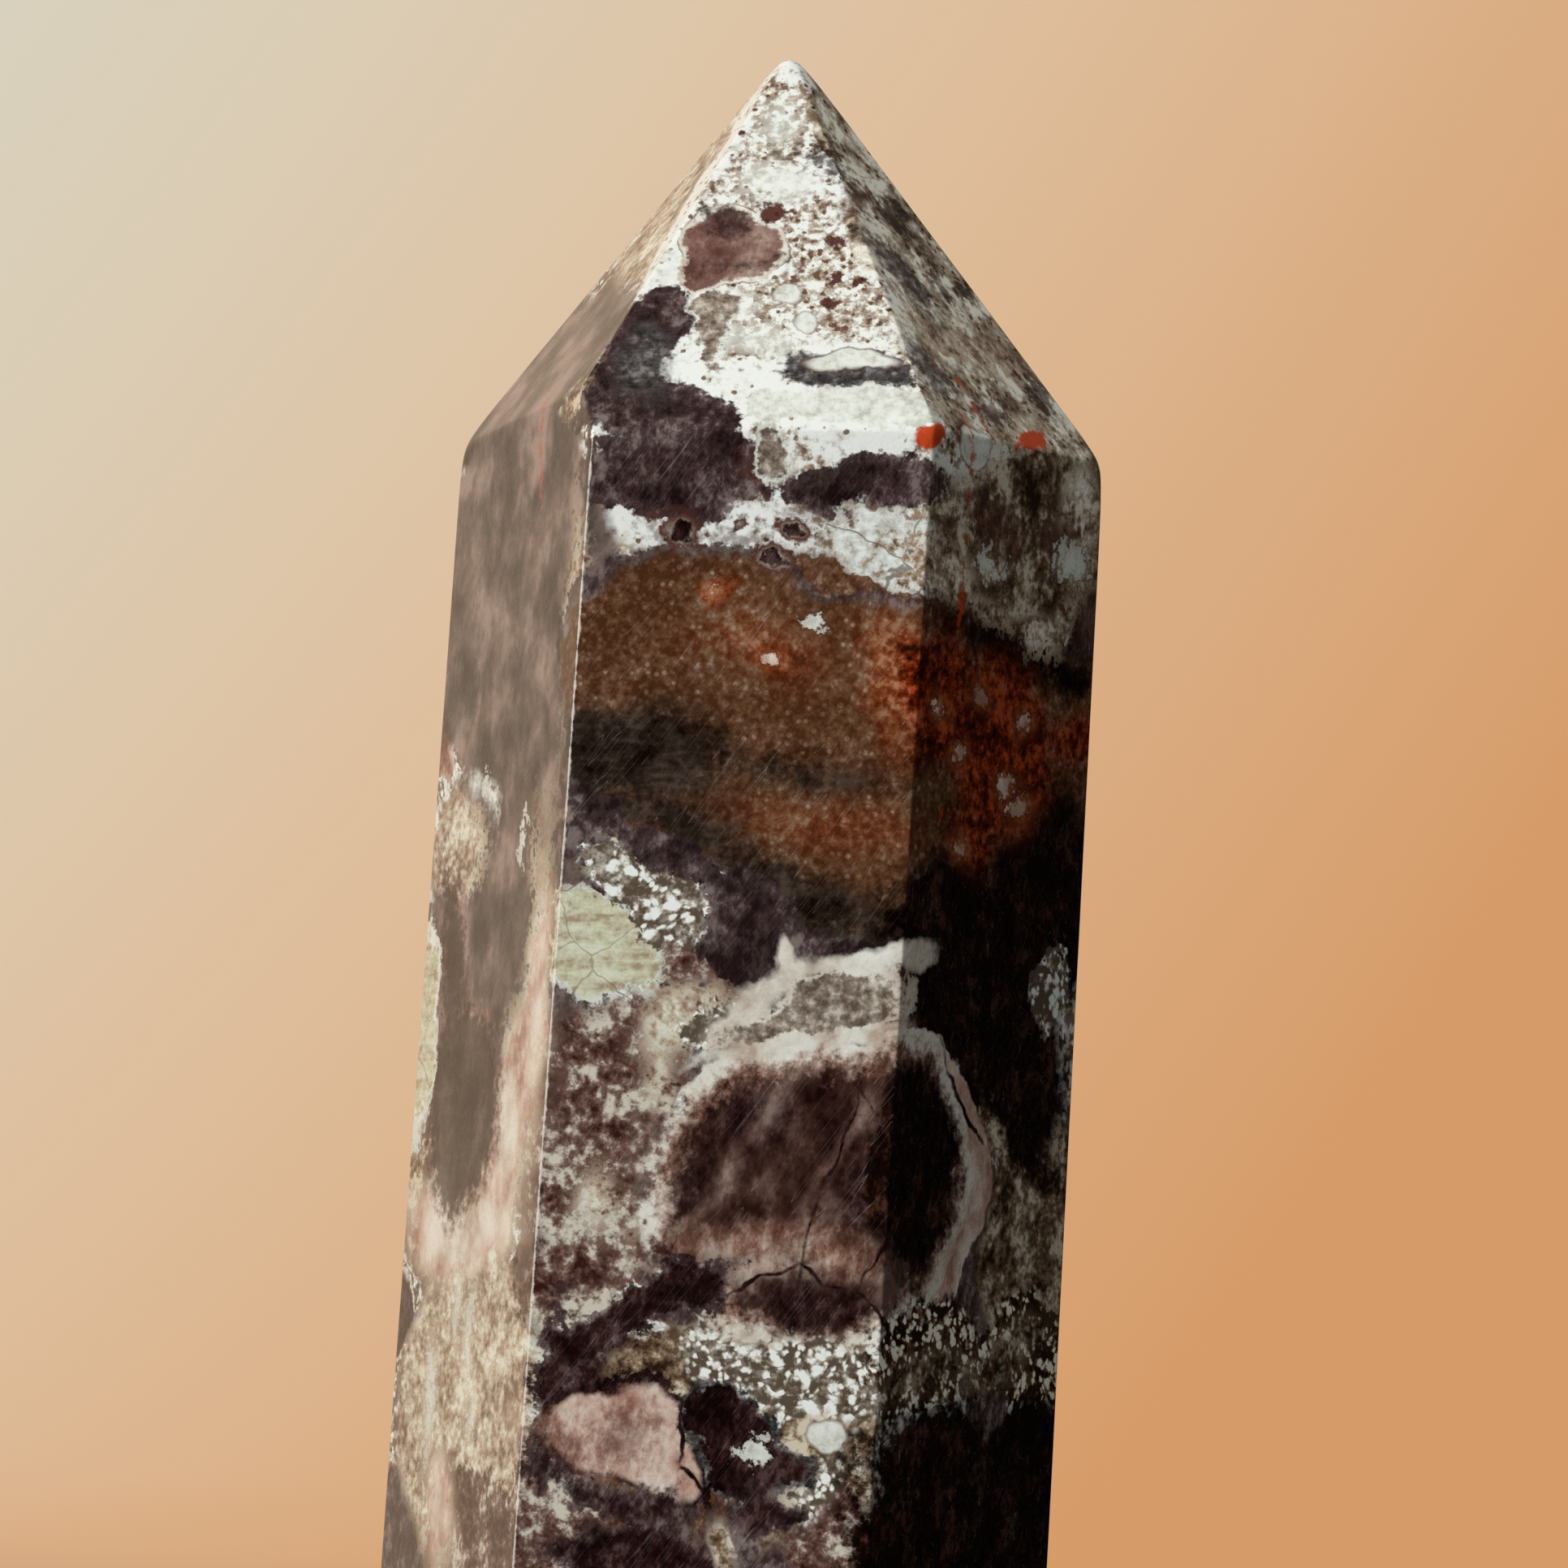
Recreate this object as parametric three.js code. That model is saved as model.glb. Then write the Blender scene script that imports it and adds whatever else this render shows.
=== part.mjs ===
// A brecciated jasper tower: one piece of stone, cut as a six-sided point and polished.
// Millimetres, +Z up. The origin is the middle of the flat base, and the front face looks along -Y.

import * as THREE from "three";

// Overall size
const APEX = new THREE.Vector3(-0.57, 0, 95.6); // where the tip facets would meet if the tip were sharp
const TIP_HEIGHT = 95; // the height that is left once the tip is blunted

// The six long faces, each with the tip facet above it.
// turn and tipTurn: the way it looks, in degrees from -Y towards +X. out: its distance from the axis at
// the base. lean and tipLean: how far it leans in from upright, in degrees. No two cuts are quite alike.
const CUTS = [
  { turn: 0, out: 13.65, lean: 0.45, tipTurn: -1.7, tipLean: 33.8 },
  { turn: 60.5, out: 13.89, lean: 0.25, tipTurn: 61, tipLean: 36.5 },
  { turn: 120, out: 13.69, lean: 0.4, tipTurn: 121, tipLean: 35.3 },
  { turn: 180, out: 13.65, lean: 0.45, tipTurn: 180, tipLean: 34.4 },
  { turn: 240.5, out: 13.76, lean: 0.45, tipTurn: 241.5, tipLean: 33 },
  { turn: 300, out: 13.81, lean: 0.65, tipTurn: 295, tipLean: 33.5 },
];

// How far the lap and the wheel have rounded each kind of edge
const LONG_EDGE_RADIUS = 0.25; // between two long faces
const RIDGE_RADIUS = 0.3; // between two tip facets
const SHOULDER_RADIUS = 0.6; // between a long face and a tip facet
const FOOT_RADIUS = 0.7; // around the base
const CORNER_SHARE = 1.2; // a corner is rounded by this share of its largest edge radius
const ROUNDING_STEPS = [1 / 4, 1 / 2, 3 / 4]; // the flats that stand for each rounded edge
const TIP_FLAT_RADIUS = 1.1; // how blunt the tip is worn

const MERGE_DISTANCE = 1e-4; // points nearer than this are one corner
const JASPER = new THREE.MeshStandardMaterial({ color: 0x6b504a, roughness: 0.25, metalness: 0 });

/** The direction that lies turn degrees from -Y towards +X, tilted up by rise degrees. */
function direction(turn, rise) {
  const around = THREE.MathUtils.degToRad(turn);
  const up = THREE.MathUtils.degToRad(rise);
  return new THREE.Vector3(
    Math.sin(around) * Math.cos(up),
    -Math.cos(around) * Math.cos(up),
    Math.sin(up),
  );
}

/** The cut that faces the given way and passes through a point. The stone is on its inner side. */
function cutThrough(kind, normal, point) {
  return { kind, normal, offset: normal.dot(point) };
}

/** The flat base, the six long faces and the six tip facets, all with sharp edges. */
function mainCuts() {
  const base = cutThrough("base", new THREE.Vector3(0, 0, -1), new THREE.Vector3());
  const faces = CUTS.map(({ turn, out, lean }) =>
    cutThrough("face", direction(turn, lean), direction(turn, 0).multiplyScalar(out)),
  );
  const facets = CUTS.map(({ tipTurn, tipLean }) =>
    cutThrough("facet", direction(tipTurn, tipLean), APEX),
  );
  return [base, ...faces, ...facets];
}

/** The point where three cuts meet, or null where they run alongside each other. */
function meetingPoint(a, b, c) {
  const bc = new THREE.Vector3().crossVectors(b.normal, c.normal);
  const volume = a.normal.dot(bc);
  if (Math.abs(volume) < 1e-9) return null;
  const ca = new THREE.Vector3().crossVectors(c.normal, a.normal);
  const ab = new THREE.Vector3().crossVectors(a.normal, b.normal);
  return bc
    .multiplyScalar(a.offset)
    .addScaledVector(ca, b.offset)
    .addScaledVector(ab, c.offset)
    .divideScalar(volume);
}

/** Every corner of the stone that the cuts leave, each with the numbers of the cuts that it lies on. */
function cornersOf(cuts) {
  const corners = [];
  const isInside = (point) =>
    cuts.every((cut) => cut.normal.dot(point) < cut.offset + MERGE_DISTANCE / 2);
  for (let i = 0; i < cuts.length; i++) {
    for (let j = i + 1; j < cuts.length; j++) {
      for (let k = j + 1; k < cuts.length; k++) {
        const point = meetingPoint(cuts[i], cuts[j], cuts[k]);
        if (!point || !isInside(point)) continue;
        let corner = corners.find((known) => known.point.distanceTo(point) < MERGE_DISTANCE);
        if (!corner) {
          corner = { point, on: new Set() };
          corners.push(corner);
        }
        for (const number of [i, j, k]) corner.on.add(number);
      }
    }
  }
  return corners;
}

/** The radius that the edge between two cuts is worn to. */
function edgeRadius(a, b) {
  if (a.kind === "base" || b.kind === "base") return FOOT_RADIUS;
  if (a.kind !== b.kind) return SHOULDER_RADIUS;
  return a.kind === "face" ? LONG_EDGE_RADIUS : RIDGE_RADIUS;
}

/** The flats that stand for the rounded edge between two cuts, which meet at the given point. */
function roundedEdge(a, b, point) {
  const radius = edgeRadius(a, b);
  const inward = a.normal.clone().add(b.normal);
  inward.multiplyScalar(radius / (1 + a.normal.dot(b.normal)));
  const centre = point.clone().sub(inward);
  return ROUNDING_STEPS.map((step) => {
    const normal = a.normal.clone().lerp(b.normal, step).normalize();
    return { kind: "edge", normal, offset: normal.dot(centre) + radius };
  });
}

/** The flat that takes the point off a corner where three cuts meet. */
function roundedCorner(a, b, c) {
  const radius = CORNER_SHARE * Math.max(edgeRadius(a, b), edgeRadius(b, c), edgeRadius(c, a));
  const inset = [a, b, c].map((cut) => ({ ...cut, offset: cut.offset - radius }));
  const centre = meetingPoint(...inset);
  const normal = a.normal.clone().add(b.normal).add(c.normal).normalize();
  return { kind: "corner", normal, offset: normal.dot(centre) + radius };
}

/** The flats that blunt the tip: a level one, and a ring of sloping ones around it. */
function bluntedTip(facets) {
  const up = new THREE.Vector3(0, 0, 1);
  const centre = APEX.clone().setZ(TIP_HEIGHT - TIP_FLAT_RADIUS);
  const tangent = (normal) => ({
    kind: "corner",
    normal,
    offset: normal.dot(centre) + TIP_FLAT_RADIUS,
  });
  const ring = facets.flatMap((facet, i) => {
    const next = facets[(i + 1) % facets.length];
    const ridge = facet.normal.clone().add(next.normal).normalize();
    return [facet.normal, ridge].map((side) => tangent(side.clone().lerp(up, 0.5).normalize()));
  });
  return [tangent(up), ...ring];
}

/** The main cuts, with every edge and corner between them rounded. */
function softened(cuts) {
  const corners = cornersOf(cuts);
  const edges = [];
  for (let i = 0; i < cuts.length; i++) {
    for (let j = i + 1; j < cuts.length; j++) {
      const shared = corners.filter(({ on }) => on.has(i) && on.has(j));
      if (shared.length > 1) edges.push(...roundedEdge(cuts[i], cuts[j], shared[0].point));
    }
  }
  const points = corners
    .filter(({ on }) => on.size === 3)
    .map(({ on }) => roundedCorner(...[...on].map((number) => cuts[number])));
  return [...cuts, ...edges, ...points, ...bluntedTip(cuts.filter(({ kind }) => kind === "facet"))];
}

/** The closed faceted solid that a list of cuts leaves. */
function stoneLeftBy(cuts) {
  const corners = cornersOf(cuts);
  const triangles = [];
  cuts.forEach((cut, number) => {
    const ring = corners.map((corner, index) => ({ ...corner, index })).filter(({ on }) => on.has(number));
    if (ring.length < 3) return;
    const middle = ring
      .reduce((sum, { point }) => sum.add(point), new THREE.Vector3())
      .divideScalar(ring.length);
    const across = ring[0].point.clone().sub(middle).normalize();
    const along = new THREE.Vector3().crossVectors(cut.normal, across);
    const angle = ({ point }) => {
      const arm = point.clone().sub(middle);
      return Math.atan2(arm.dot(along), arm.dot(across));
    };
    ring.sort((a, b) => angle(a) - angle(b));
    for (let k = 1; k < ring.length - 1; k++) {
      triangles.push(ring[0].index, ring[k].index, ring[k + 1].index);
    }
  });
  const geometry = new THREE.BufferGeometry();
  geometry.setAttribute(
    "position",
    new THREE.Float32BufferAttribute(corners.flatMap(({ point }) => point.toArray()), 3),
  );
  geometry.setIndex(triangles);
  geometry.computeVertexNormals();
  return geometry;
}

/** The tower, as one polished stone standing on its base. */
function jasperTower() {
  const tower = new THREE.Mesh(stoneLeftBy(softened(mainCuts())), JASPER);
  tower.name = "jasper_tower";
  return tower;
}

const model = new THREE.Group();
model.add(jasperTower());

export default model;
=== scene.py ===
"""The looks of a brecciated jasper tower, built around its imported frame.

The tower is one stone, cut as a six-sided point and polished. The CAD solid gives its flats. This script
cuts the same flats fine, wears their edges, chips the ridges, and dresses the stone in a solid pattern
of fragments, veins, grains and cracks that runs through it, so that the markings turn every edge.

Lengths are in millimetres up to the point where a mesh, a light or the camera is made.
"""

import logging
import math
from dataclasses import dataclass, field
from enum import Enum
from itertools import combinations
from typing import Sequence

import bmesh
import bpy
import numpy as np
from mathutils import Matrix, Vector, noise


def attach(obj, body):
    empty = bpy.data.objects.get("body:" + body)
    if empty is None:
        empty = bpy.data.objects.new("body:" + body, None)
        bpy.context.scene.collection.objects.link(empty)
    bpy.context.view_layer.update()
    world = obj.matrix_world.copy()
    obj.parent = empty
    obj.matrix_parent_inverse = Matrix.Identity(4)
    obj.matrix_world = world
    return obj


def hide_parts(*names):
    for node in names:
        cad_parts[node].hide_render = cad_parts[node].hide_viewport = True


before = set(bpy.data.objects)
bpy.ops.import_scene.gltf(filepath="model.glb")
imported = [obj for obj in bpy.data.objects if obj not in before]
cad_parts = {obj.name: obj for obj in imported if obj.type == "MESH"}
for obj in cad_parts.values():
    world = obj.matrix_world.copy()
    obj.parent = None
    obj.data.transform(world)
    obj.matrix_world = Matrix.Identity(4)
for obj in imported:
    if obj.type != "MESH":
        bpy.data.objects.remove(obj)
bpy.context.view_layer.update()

LOG = logging.getLogger("jasper_tower")
MM = 0.001
UP = Vector((0, 0, 1))
Triple = tuple[float, float, float]
Colour = Triple
Stops = Sequence[tuple[float, Colour]]


class Side(Enum):
    """The six ways a flat can face, counted from the front towards the right."""

    FRONT = 0
    RIGHT = 1
    BACK_RIGHT = 2
    BACK = 3
    BACK_LEFT = 4
    LEFT = 5


class Kind(Enum):
    """What a flat is: the base, a long face or a facet of the point."""

    BASE = "base"
    FACE = "face"
    FACET = "facet"


class Cut(Enum):
    """The flats that carry placed markings."""

    FRONT = (Kind.FACE, Side.FRONT)
    RIGHT = (Kind.FACE, Side.RIGHT)
    LEFT = (Kind.FACE, Side.LEFT)
    TIP_FRONT = (Kind.FACET, Side.FRONT)
    TIP_RIGHT = (Kind.FACET, Side.RIGHT)
    TIP_LEFT = (Kind.FACET, Side.LEFT)


@dataclass(frozen=True)
class Flat:
    """One flat of the stone, which lies where normal . point is at most offset."""

    kind: Kind
    turn: float
    normal: Vector
    offset: float

    def across(self) -> Vector:
        """The level direction that runs to the right along the flat, seen from outside."""
        return Vector((math.cos(self.turn), math.sin(self.turn), 0))

    def rise(self) -> Vector:
        """The direction that runs up the flat."""
        return self.normal.cross(self.across())

    def place(self, across: float, height: float, depth: float = 0.0) -> Vector:
        """A point on the flat or under it.

        Args:
            across: millimetres to the right of the tower's axis, seen from outside.
            height: millimetres above the base.
            depth: millimetres below the surface.

        Returns:
            The point, in millimetres.
        """
        outward = Vector((math.sin(self.turn), -math.cos(self.turn), 0))
        reach = (self.offset - height * self.normal.z) / self.normal.dot(outward)
        return self.across() * across + outward * reach + UP * height - self.normal * depth


@dataclass
class TowerFlats:
    """The thirteen flats of the CAD solid, read off its largest faces.

    least_area is the smallest flat, in square millimetres. same_plane is the least cosine between two
    polygons of one flat. base_rise and facet_rise are the upright parts of a normal that tell a base and
    a facet from a long face. parallel is the determinant under which three flats have no corner, and
    outside and same_corner are slacks in millimetres.
    """

    node: bpy.types.Object
    least_area: float = 60.0
    same_plane: float = 0.99999
    base_rise: float = -0.9
    facet_rise: float = 0.3
    parallel: float = 1e-6
    outside: float = 0.01
    same_corner: float = 0.02
    flats: list[Flat] = field(default_factory=list)

    def __post_init__(self) -> None:
        """Gathers the node's polygons into planes and keeps the large ones."""
        groups: list[list] = []
        for polygon in self.node.data.polygons:
            normal, centre = polygon.normal.copy(), polygon.center / MM
            area = polygon.area / MM**2
            match = next((g for g in groups if g[0].dot(normal) > self.same_plane), None)
            if match is None:
                groups.append([normal, normal.dot(centre), area, area])
                continue
            match[2] += area
            if area > match[3]:
                match[0], match[1], match[3] = normal, normal.dot(centre), area
        for normal, offset, area, _ in groups:
            if area > self.least_area:
                self.flats.append(self._named(normal.normalized(), offset))

    def _named(self, normal: Vector, offset: float) -> Flat:
        """Tells what a plane is by the way it leans."""
        if normal.z < self.base_rise:
            return Flat(Kind.BASE, 0.0, normal, offset)
        kind = Kind.FACET if normal.z > self.facet_rise else Kind.FACE
        return Flat(kind, math.atan2(normal.x, -normal.y), normal, offset)

    def find(self, kind: Kind, side: Side) -> Flat:
        """The flat of one kind that looks nearest to a side's way."""
        wanted = math.radians(360 / len(Side) * side.value)
        ring = [f for f in self.flats if f.kind is kind]
        return max(ring, key=lambda f: math.cos(f.turn - wanted))

    def corners(self) -> list[tuple[Vector, set[int]]]:
        """Every corner of the sharp solid, with the numbers of the flats that meet there."""
        found: list[tuple[Vector, set[int]]] = []
        for trio in combinations(range(len(self.flats)), 3):
            rows = [self.flats[i] for i in trio]
            matrix = Matrix([f.normal for f in rows])
            if abs(matrix.determinant()) < self.parallel:
                continue
            point = matrix.inverted() @ Vector([f.offset for f in rows])
            if any(f.normal.dot(point) > f.offset + self.outside for f in self.flats):
                continue
            known = next((c for c in found if (c[0] - point).length < self.same_corner), None)
            if known:
                known[1].update(trio)
            else:
                found.append((point, set(trio)))
        return found


@dataclass(frozen=True)
class Chip:
    """A flake that has broken off an edge, as a scoop of an ellipsoid.

    edge is the way the edge runs. along and over are the scoop's half sizes along it and across it.
    """

    centre: Vector
    edge: Vector
    along: float
    over: float


@dataclass
class StoneShape:
    """The polished stone's surface: flats, worn edges, flaked ridges and the blunt tip.

    The grid and the edge rows are cut into every flat, and chip_cell is the finer grid at a chip. Each
    wear is how far an edge is rounded, and each reach how far from its place the extra wear goes.
    roundness turns wear into the sharpness of the blend between flats. The corners in front of front_line
    take only the front_share of the corner wear. The waves are the polish's own, and the chip's
    roughness is pairs of height and frequency.
    """

    flats: TowerFlats
    grid: float = 2.2
    edge_rows: tuple[float, ...] = (0.03, 0.07, 0.12, 0.19, 0.3, 0.45, 0.7, 1.1)
    roundness: float = 5.2
    edge_wear: float = 0.15
    wear_change: float = 0.35
    wear_length: float = 5.0
    tip_wear: float = 1.15
    tip_reach: float = 1.9
    corner_wear: float = 0.55
    corner_reach: float = 1.3
    front_line: float = -6.0
    front_share: float = 0.35
    foot_wear: float = 0.6
    foot_reach: float = 1.0
    wave_height: float = 0.012
    wave_length: float = 9.0
    settle_rounds: int = 6
    chip_cell: float = 0.07
    chip_margin: float = 1.3
    chip_grid_reach: float = 1.2
    chip_near: float = 1.4
    chip_blend: float = 4.0
    chip_roughness: tuple[tuple[float, float], ...] = ((0.22, 2.6), (0.1, 7.0))
    weld: float = 1e-5
    chips: list[Chip] = field(default_factory=list)

    def build(self, name: str) -> bpy.types.Object:
        """Makes the stone's mesh object.

        Args:
            name: the object's name.

        Returns:
            The object, linked to the scene, in metres.
        """
        bm = self._sharp_solid()
        self._cut_fine(bm)
        self._cut_around_chips(bm)
        bmesh.ops.triangulate(bm, faces=bm.faces, quad_method="BEAUTY", ngon_method="BEAUTY")
        bm.verts.ensure_lookup_table()
        points = np.array([v.co for v in bm.verts])
        worn = self._chipped(self._worn(points))
        for vertex, point in zip(bm.verts, worn):
            vertex.co = Vector(point) * MM
        bmesh.ops.recalc_face_normals(bm, faces=bm.faces)
        mesh = bpy.data.meshes.new(name)
        bm.to_mesh(mesh)
        bm.free()
        mesh.shade_smooth()
        stone = bpy.data.objects.new(name, mesh)
        bpy.context.scene.collection.objects.link(stone)
        LOG.info("%s: %d faces", name, len(mesh.polygons))
        return stone

    def _sharp_solid(self) -> bmesh.types.BMesh:
        """The solid that the flats leave, with sharp edges."""
        bm = bmesh.new()
        corners = [(bm.verts.new(point), numbers) for point, numbers in self.flats.corners()]
        for number, flat in enumerate(self.flats.flats):
            ring = [vertex for vertex, numbers in corners if number in numbers]
            middle = sum((v.co for v in ring), Vector()) / len(ring)
            across = (ring[0].co - middle).normalized()
            along = flat.normal.cross(across)
            ring.sort(key=lambda v: math.atan2((v.co - middle).dot(along), (v.co - middle).dot(across)))
            bm.faces.new(ring)
        bm.normal_update()
        return bm

    def _cut_fine(self, bm: bmesh.types.BMesh) -> None:
        """Cuts a grid over every flat, and rows beside every edge."""
        flat_of = bm.faces.layers.int.new("flat")
        outlines = []
        for number, face in enumerate(bm.faces):
            face[flat_of] = number
            points = [vertex.co.copy() for vertex in face.verts]
            outlines.append((face.normal.copy(), points))
        for number, (normal, points) in enumerate(outlines):
            across = Vector((1, 0, 0)) if normal.z < self.flats.base_rise else normal.cross(UP)
            across.normalize()
            for way in (across, normal.cross(across)):
                reach = [point.dot(way) for point in points]
                steps = math.ceil((max(reach) - min(reach)) / self.grid)
                for step in range(1, steps):
                    stop = min(reach) + (max(reach) - min(reach)) * step / steps
                    self._bisect(bm, flat_of, number, way * stop, way)
            for start, end in zip(points, points[1:] + points[:1]):
                inward = normal.cross(end - start).normalized()
                for row in self.edge_rows:
                    self._bisect(bm, flat_of, number, start + inward * row, inward)

    def _cut_around_chips(self, bm: bmesh.types.BMesh) -> None:
        """Cuts a much finer grid where the edges are chipped."""
        chipped = bm.faces.layers.int.new("chipped")
        for number, chip in enumerate(self.chips, start=1):
            margin = chip.along * self.chip_margin
            for face in bm.faces:
                if min((vertex.co - chip.centre).length for vertex in face.verts) < margin:
                    face[chipped] = number
            side = chip.edge.cross(UP).normalized()
            ways = ((chip.edge, chip.along), (side, chip.over), (side.cross(chip.edge), chip.over))
            for way, size in ways:
                count = math.ceil(size * self.chip_grid_reach / self.chip_cell)
                for step in range(-count, count + 1):
                    point = chip.centre + way * (step * self.chip_cell)
                    self._bisect(bm, chipped, number, point, way)

    def _bisect(
        self, bm: bmesh.types.BMesh, layer: bmesh.types.BMLayerItem, number: int, point: Vector, way: Vector
    ) -> None:
        """Cuts the faces that a layer gives a number with a plane."""
        faces = [face for face in bm.faces if face[layer] == number]
        edges = dict.fromkeys(edge for face in faces for edge in face.edges)
        verts = dict.fromkeys(vertex for face in faces for vertex in face.verts)
        geometry = [*verts, *edges, *faces]
        bmesh.ops.bisect_plane(bm, geom=geometry, dist=self.weld, plane_co=point, plane_no=way)

    def _sharpness(self, points: np.ndarray) -> np.ndarray:
        """How sharp the edges are at each point: the larger, the smaller their rounding."""
        wear = np.full(len(points), self.edge_wear)
        apex = max((corner for corner, _ in self.flats.corners()), key=lambda corner: corner.z)
        wear += (self.tip_wear - self.edge_wear) * self._nearness(points, apex, self.tip_reach)
        for corner, numbers in self.flats.corners():
            kinds = [self.flats.flats[i].kind for i in numbers]
            if kinds.count(Kind.FACE) == 2 and Kind.BASE not in kinds:
                share = self.front_share if corner.y < self.front_line else 1.0
                wear += self.corner_wear * share * self._nearness(points, corner, self.corner_reach)
        wear += self.foot_wear * np.exp(-((points[:, 2] / self.foot_reach) ** 2))
        uneven = np.array([noise.noise(Vector(p) / self.wear_length) for p in points])
        return self.roundness / (wear * (1 + self.wear_change * uneven))

    @staticmethod
    def _nearness(points: np.ndarray, centre: Vector, reach: float) -> np.ndarray:
        """1 at a centre, falling to nothing a little beyond its reach."""
        return np.exp(-(np.linalg.norm(points - np.array(centre), axis=1) ** 2) / reach**2)

    def _worn(self, points: np.ndarray) -> np.ndarray:
        """Moves points of the sharp surface in to the worn one."""
        normals = np.array([f.normal for f in self.flats.flats])
        offsets = np.array([f.offset for f in self.flats.flats])
        sharpness = self._sharpness(points)[:, None]
        waves = self.wave_height * np.array([noise.noise(Vector(p) / self.wave_length) for p in points])
        moved = points.copy()
        for _ in range(self.settle_rounds):
            heights = (moved @ normals.T - offsets) * sharpness
            top = heights.max(axis=1, keepdims=True)
            shares = np.exp(heights - top)
            total = shares.sum(axis=1, keepdims=True)
            value = ((top + np.log(total)) / sharpness)[:, 0] + self.wave_height + waves
            slope = (shares / total) @ normals
            moved -= slope * (value / (slope**2).sum(axis=1))[:, None]
        return moved

    def _chipped(self, points: np.ndarray) -> np.ndarray:
        """Scoops the chips out of the worn surface."""
        normals = np.array([f.normal for f in self.flats.flats])
        offsets = np.array([f.offset for f in self.flats.flats])
        shares = np.exp(self.chip_blend * (points @ normals.T - offsets))
        outward = shares @ normals
        outward /= np.linalg.norm(outward, axis=1, keepdims=True)
        moved = points.copy()
        for chip in self.chips:
            edge = np.array(chip.edge)
            stretch = np.eye(3) - np.outer(edge, edge) * (1 - chip.over / chip.along)
            arms = (moved - np.array(chip.centre)) @ stretch
            near = np.nonzero(np.linalg.norm(arms, axis=1) < chip.over * self.chip_near)[0]
            for i in near:
                place = Vector(moved[i])
                rough = sum(high * noise.noise(place * often) for high, often in self.chip_roughness)
                size = chip.over * (1 + rough)
                way = outward[i] @ stretch
                a, b = way @ way, way @ arms[i]
                c = arms[i] @ arms[i] - size**2
                if c < 0:
                    moved[i] -= outward[i] * (b + math.sqrt(b * b - a * c)) / a
        return moved


@dataclass
class NodeSheet:
    """A node tree, with short ways to add nodes and to feed their sockets."""

    tree: bpy.types.NodeTree

    def add(self, kind: str, feeds: dict | None = None, **settings) -> bpy.types.Node:
        """Adds one node.

        Args:
            kind: the node's type name, such as ShaderNodeMath.
            feeds: what goes into its input sockets, by name or number.
            settings: the node's own properties.

        Returns:
            The node.
        """
        node = self.tree.nodes.new(kind)
        for name, value in settings.items():
            setattr(node, name, value)
        for key, value in (feeds or {}).items():
            self.feed(node.inputs[key], value)
        return node

    def feed(self, socket: bpy.types.NodeSocket, value: object) -> None:
        """Links a socket to another, or sets it to a constant."""
        if isinstance(value, bpy.types.NodeSocket):
            self.tree.links.new(value, socket)
        elif socket.type == "RGBA":
            socket.default_value = (*value, 1.0)
        else:
            socket.default_value = value

    def math(self, operation: str, *values: object) -> bpy.types.NodeSocket:
        """A Math node's result."""
        return self.add("ShaderNodeMath", dict(enumerate(values)), operation=operation).outputs[0]

    def vector(self, operation: str, *values: object) -> bpy.types.NodeSocket:
        """A Vector Math node's result, which is a number for LENGTH and DOT_PRODUCT."""
        node = self.add("ShaderNodeVectorMath", operation=operation)
        names = (0, "Scale") if operation == "SCALE" else range(len(values))
        for name, value in zip(names, values):
            self.feed(node.inputs[name], value)
        return node.outputs["Value" if operation in ("LENGTH", "DOT_PRODUCT") else "Vector"]

    def line(self, value: object, gain: float, start: float) -> bpy.types.NodeSocket:
        """A value times a gain, and a start added to it."""
        feeds = {"Value": value, "To Min": start, "To Max": start + gain}
        return self.add("ShaderNodeMapRange", feeds, clamp=False).outputs[0]

    def smooth(self, value: object, low: float, high: float, most: float = 1.0) -> bpy.types.NodeSocket:
        """A mask that goes smoothly from 0 at low to its most at high. low may be the larger."""
        feeds = {"Value": value, "From Min": low, "From Max": high, "To Max": most}
        return self.add("ShaderNodeMapRange", feeds, interpolation_type="SMOOTHSTEP").outputs[0]

    def mix(self, share: object, under: object, over: object) -> bpy.types.NodeSocket:
        """A colour laid over another by a share from 0 to 1."""
        return self.add("ShaderNodeMix", {0: share, 6: under, 7: over}, data_type="RGBA").outputs[2]

    def ramp(self, value: object, stops: Stops) -> bpy.types.NodeSocket:
        """A colour looked up along a row of places and colours."""
        node = self.add("ShaderNodeValToRGB", {0: value})
        elements = node.color_ramp.elements
        while len(elements) < len(stops):
            elements.new(1.0)
        for element, (place, colour) in zip(elements, stops):
            element.position = place
            element.color = (*colour, 1.0)
        return node.outputs[0]

    def stretched(self, where: object, turn: float, stretch: Triple) -> bpy.types.NodeSocket:
        """Places turned by degrees about the level Y axis and scaled, for a texture that runs one way."""
        size = tuple(1 / part for part in stretch)
        feeds = {"Vector": where, "Rotation": (0, math.radians(turn), 0), "Scale": size}
        return self.add("ShaderNodeMapping", feeds, vector_type="TEXTURE").outputs[0]

    def noise(self, where: object, scale: float, detail: float, rough: float = 0.5) -> bpy.types.Node:
        """A Noise Texture node."""
        feeds = {"Vector": where, "Scale": scale, "Detail": detail, "Roughness": rough}
        return self.add("ShaderNodeTexNoise", feeds)

    def cells(self, where: object, scale: float, feature: str = "F1") -> bpy.types.Node:
        """A Voronoi Texture node."""
        return self.add("ShaderNodeTexVoronoi", {"Vector": where, "Scale": scale}, feature=feature)


class Texture(Enum):
    """The textures that run through the whole stone, each swinging about a half."""

    MOTTLE = "soft clouds"
    FIBRE = "fine upright felt"
    STREAK = "level streaks"
    SPECK = "crumbly specks"
    FINE = "sand"
    GRAINS = "clustered round grains"
    DOTS = "clustered small dots"
    CLOUD = "large smooth clouds"


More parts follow.
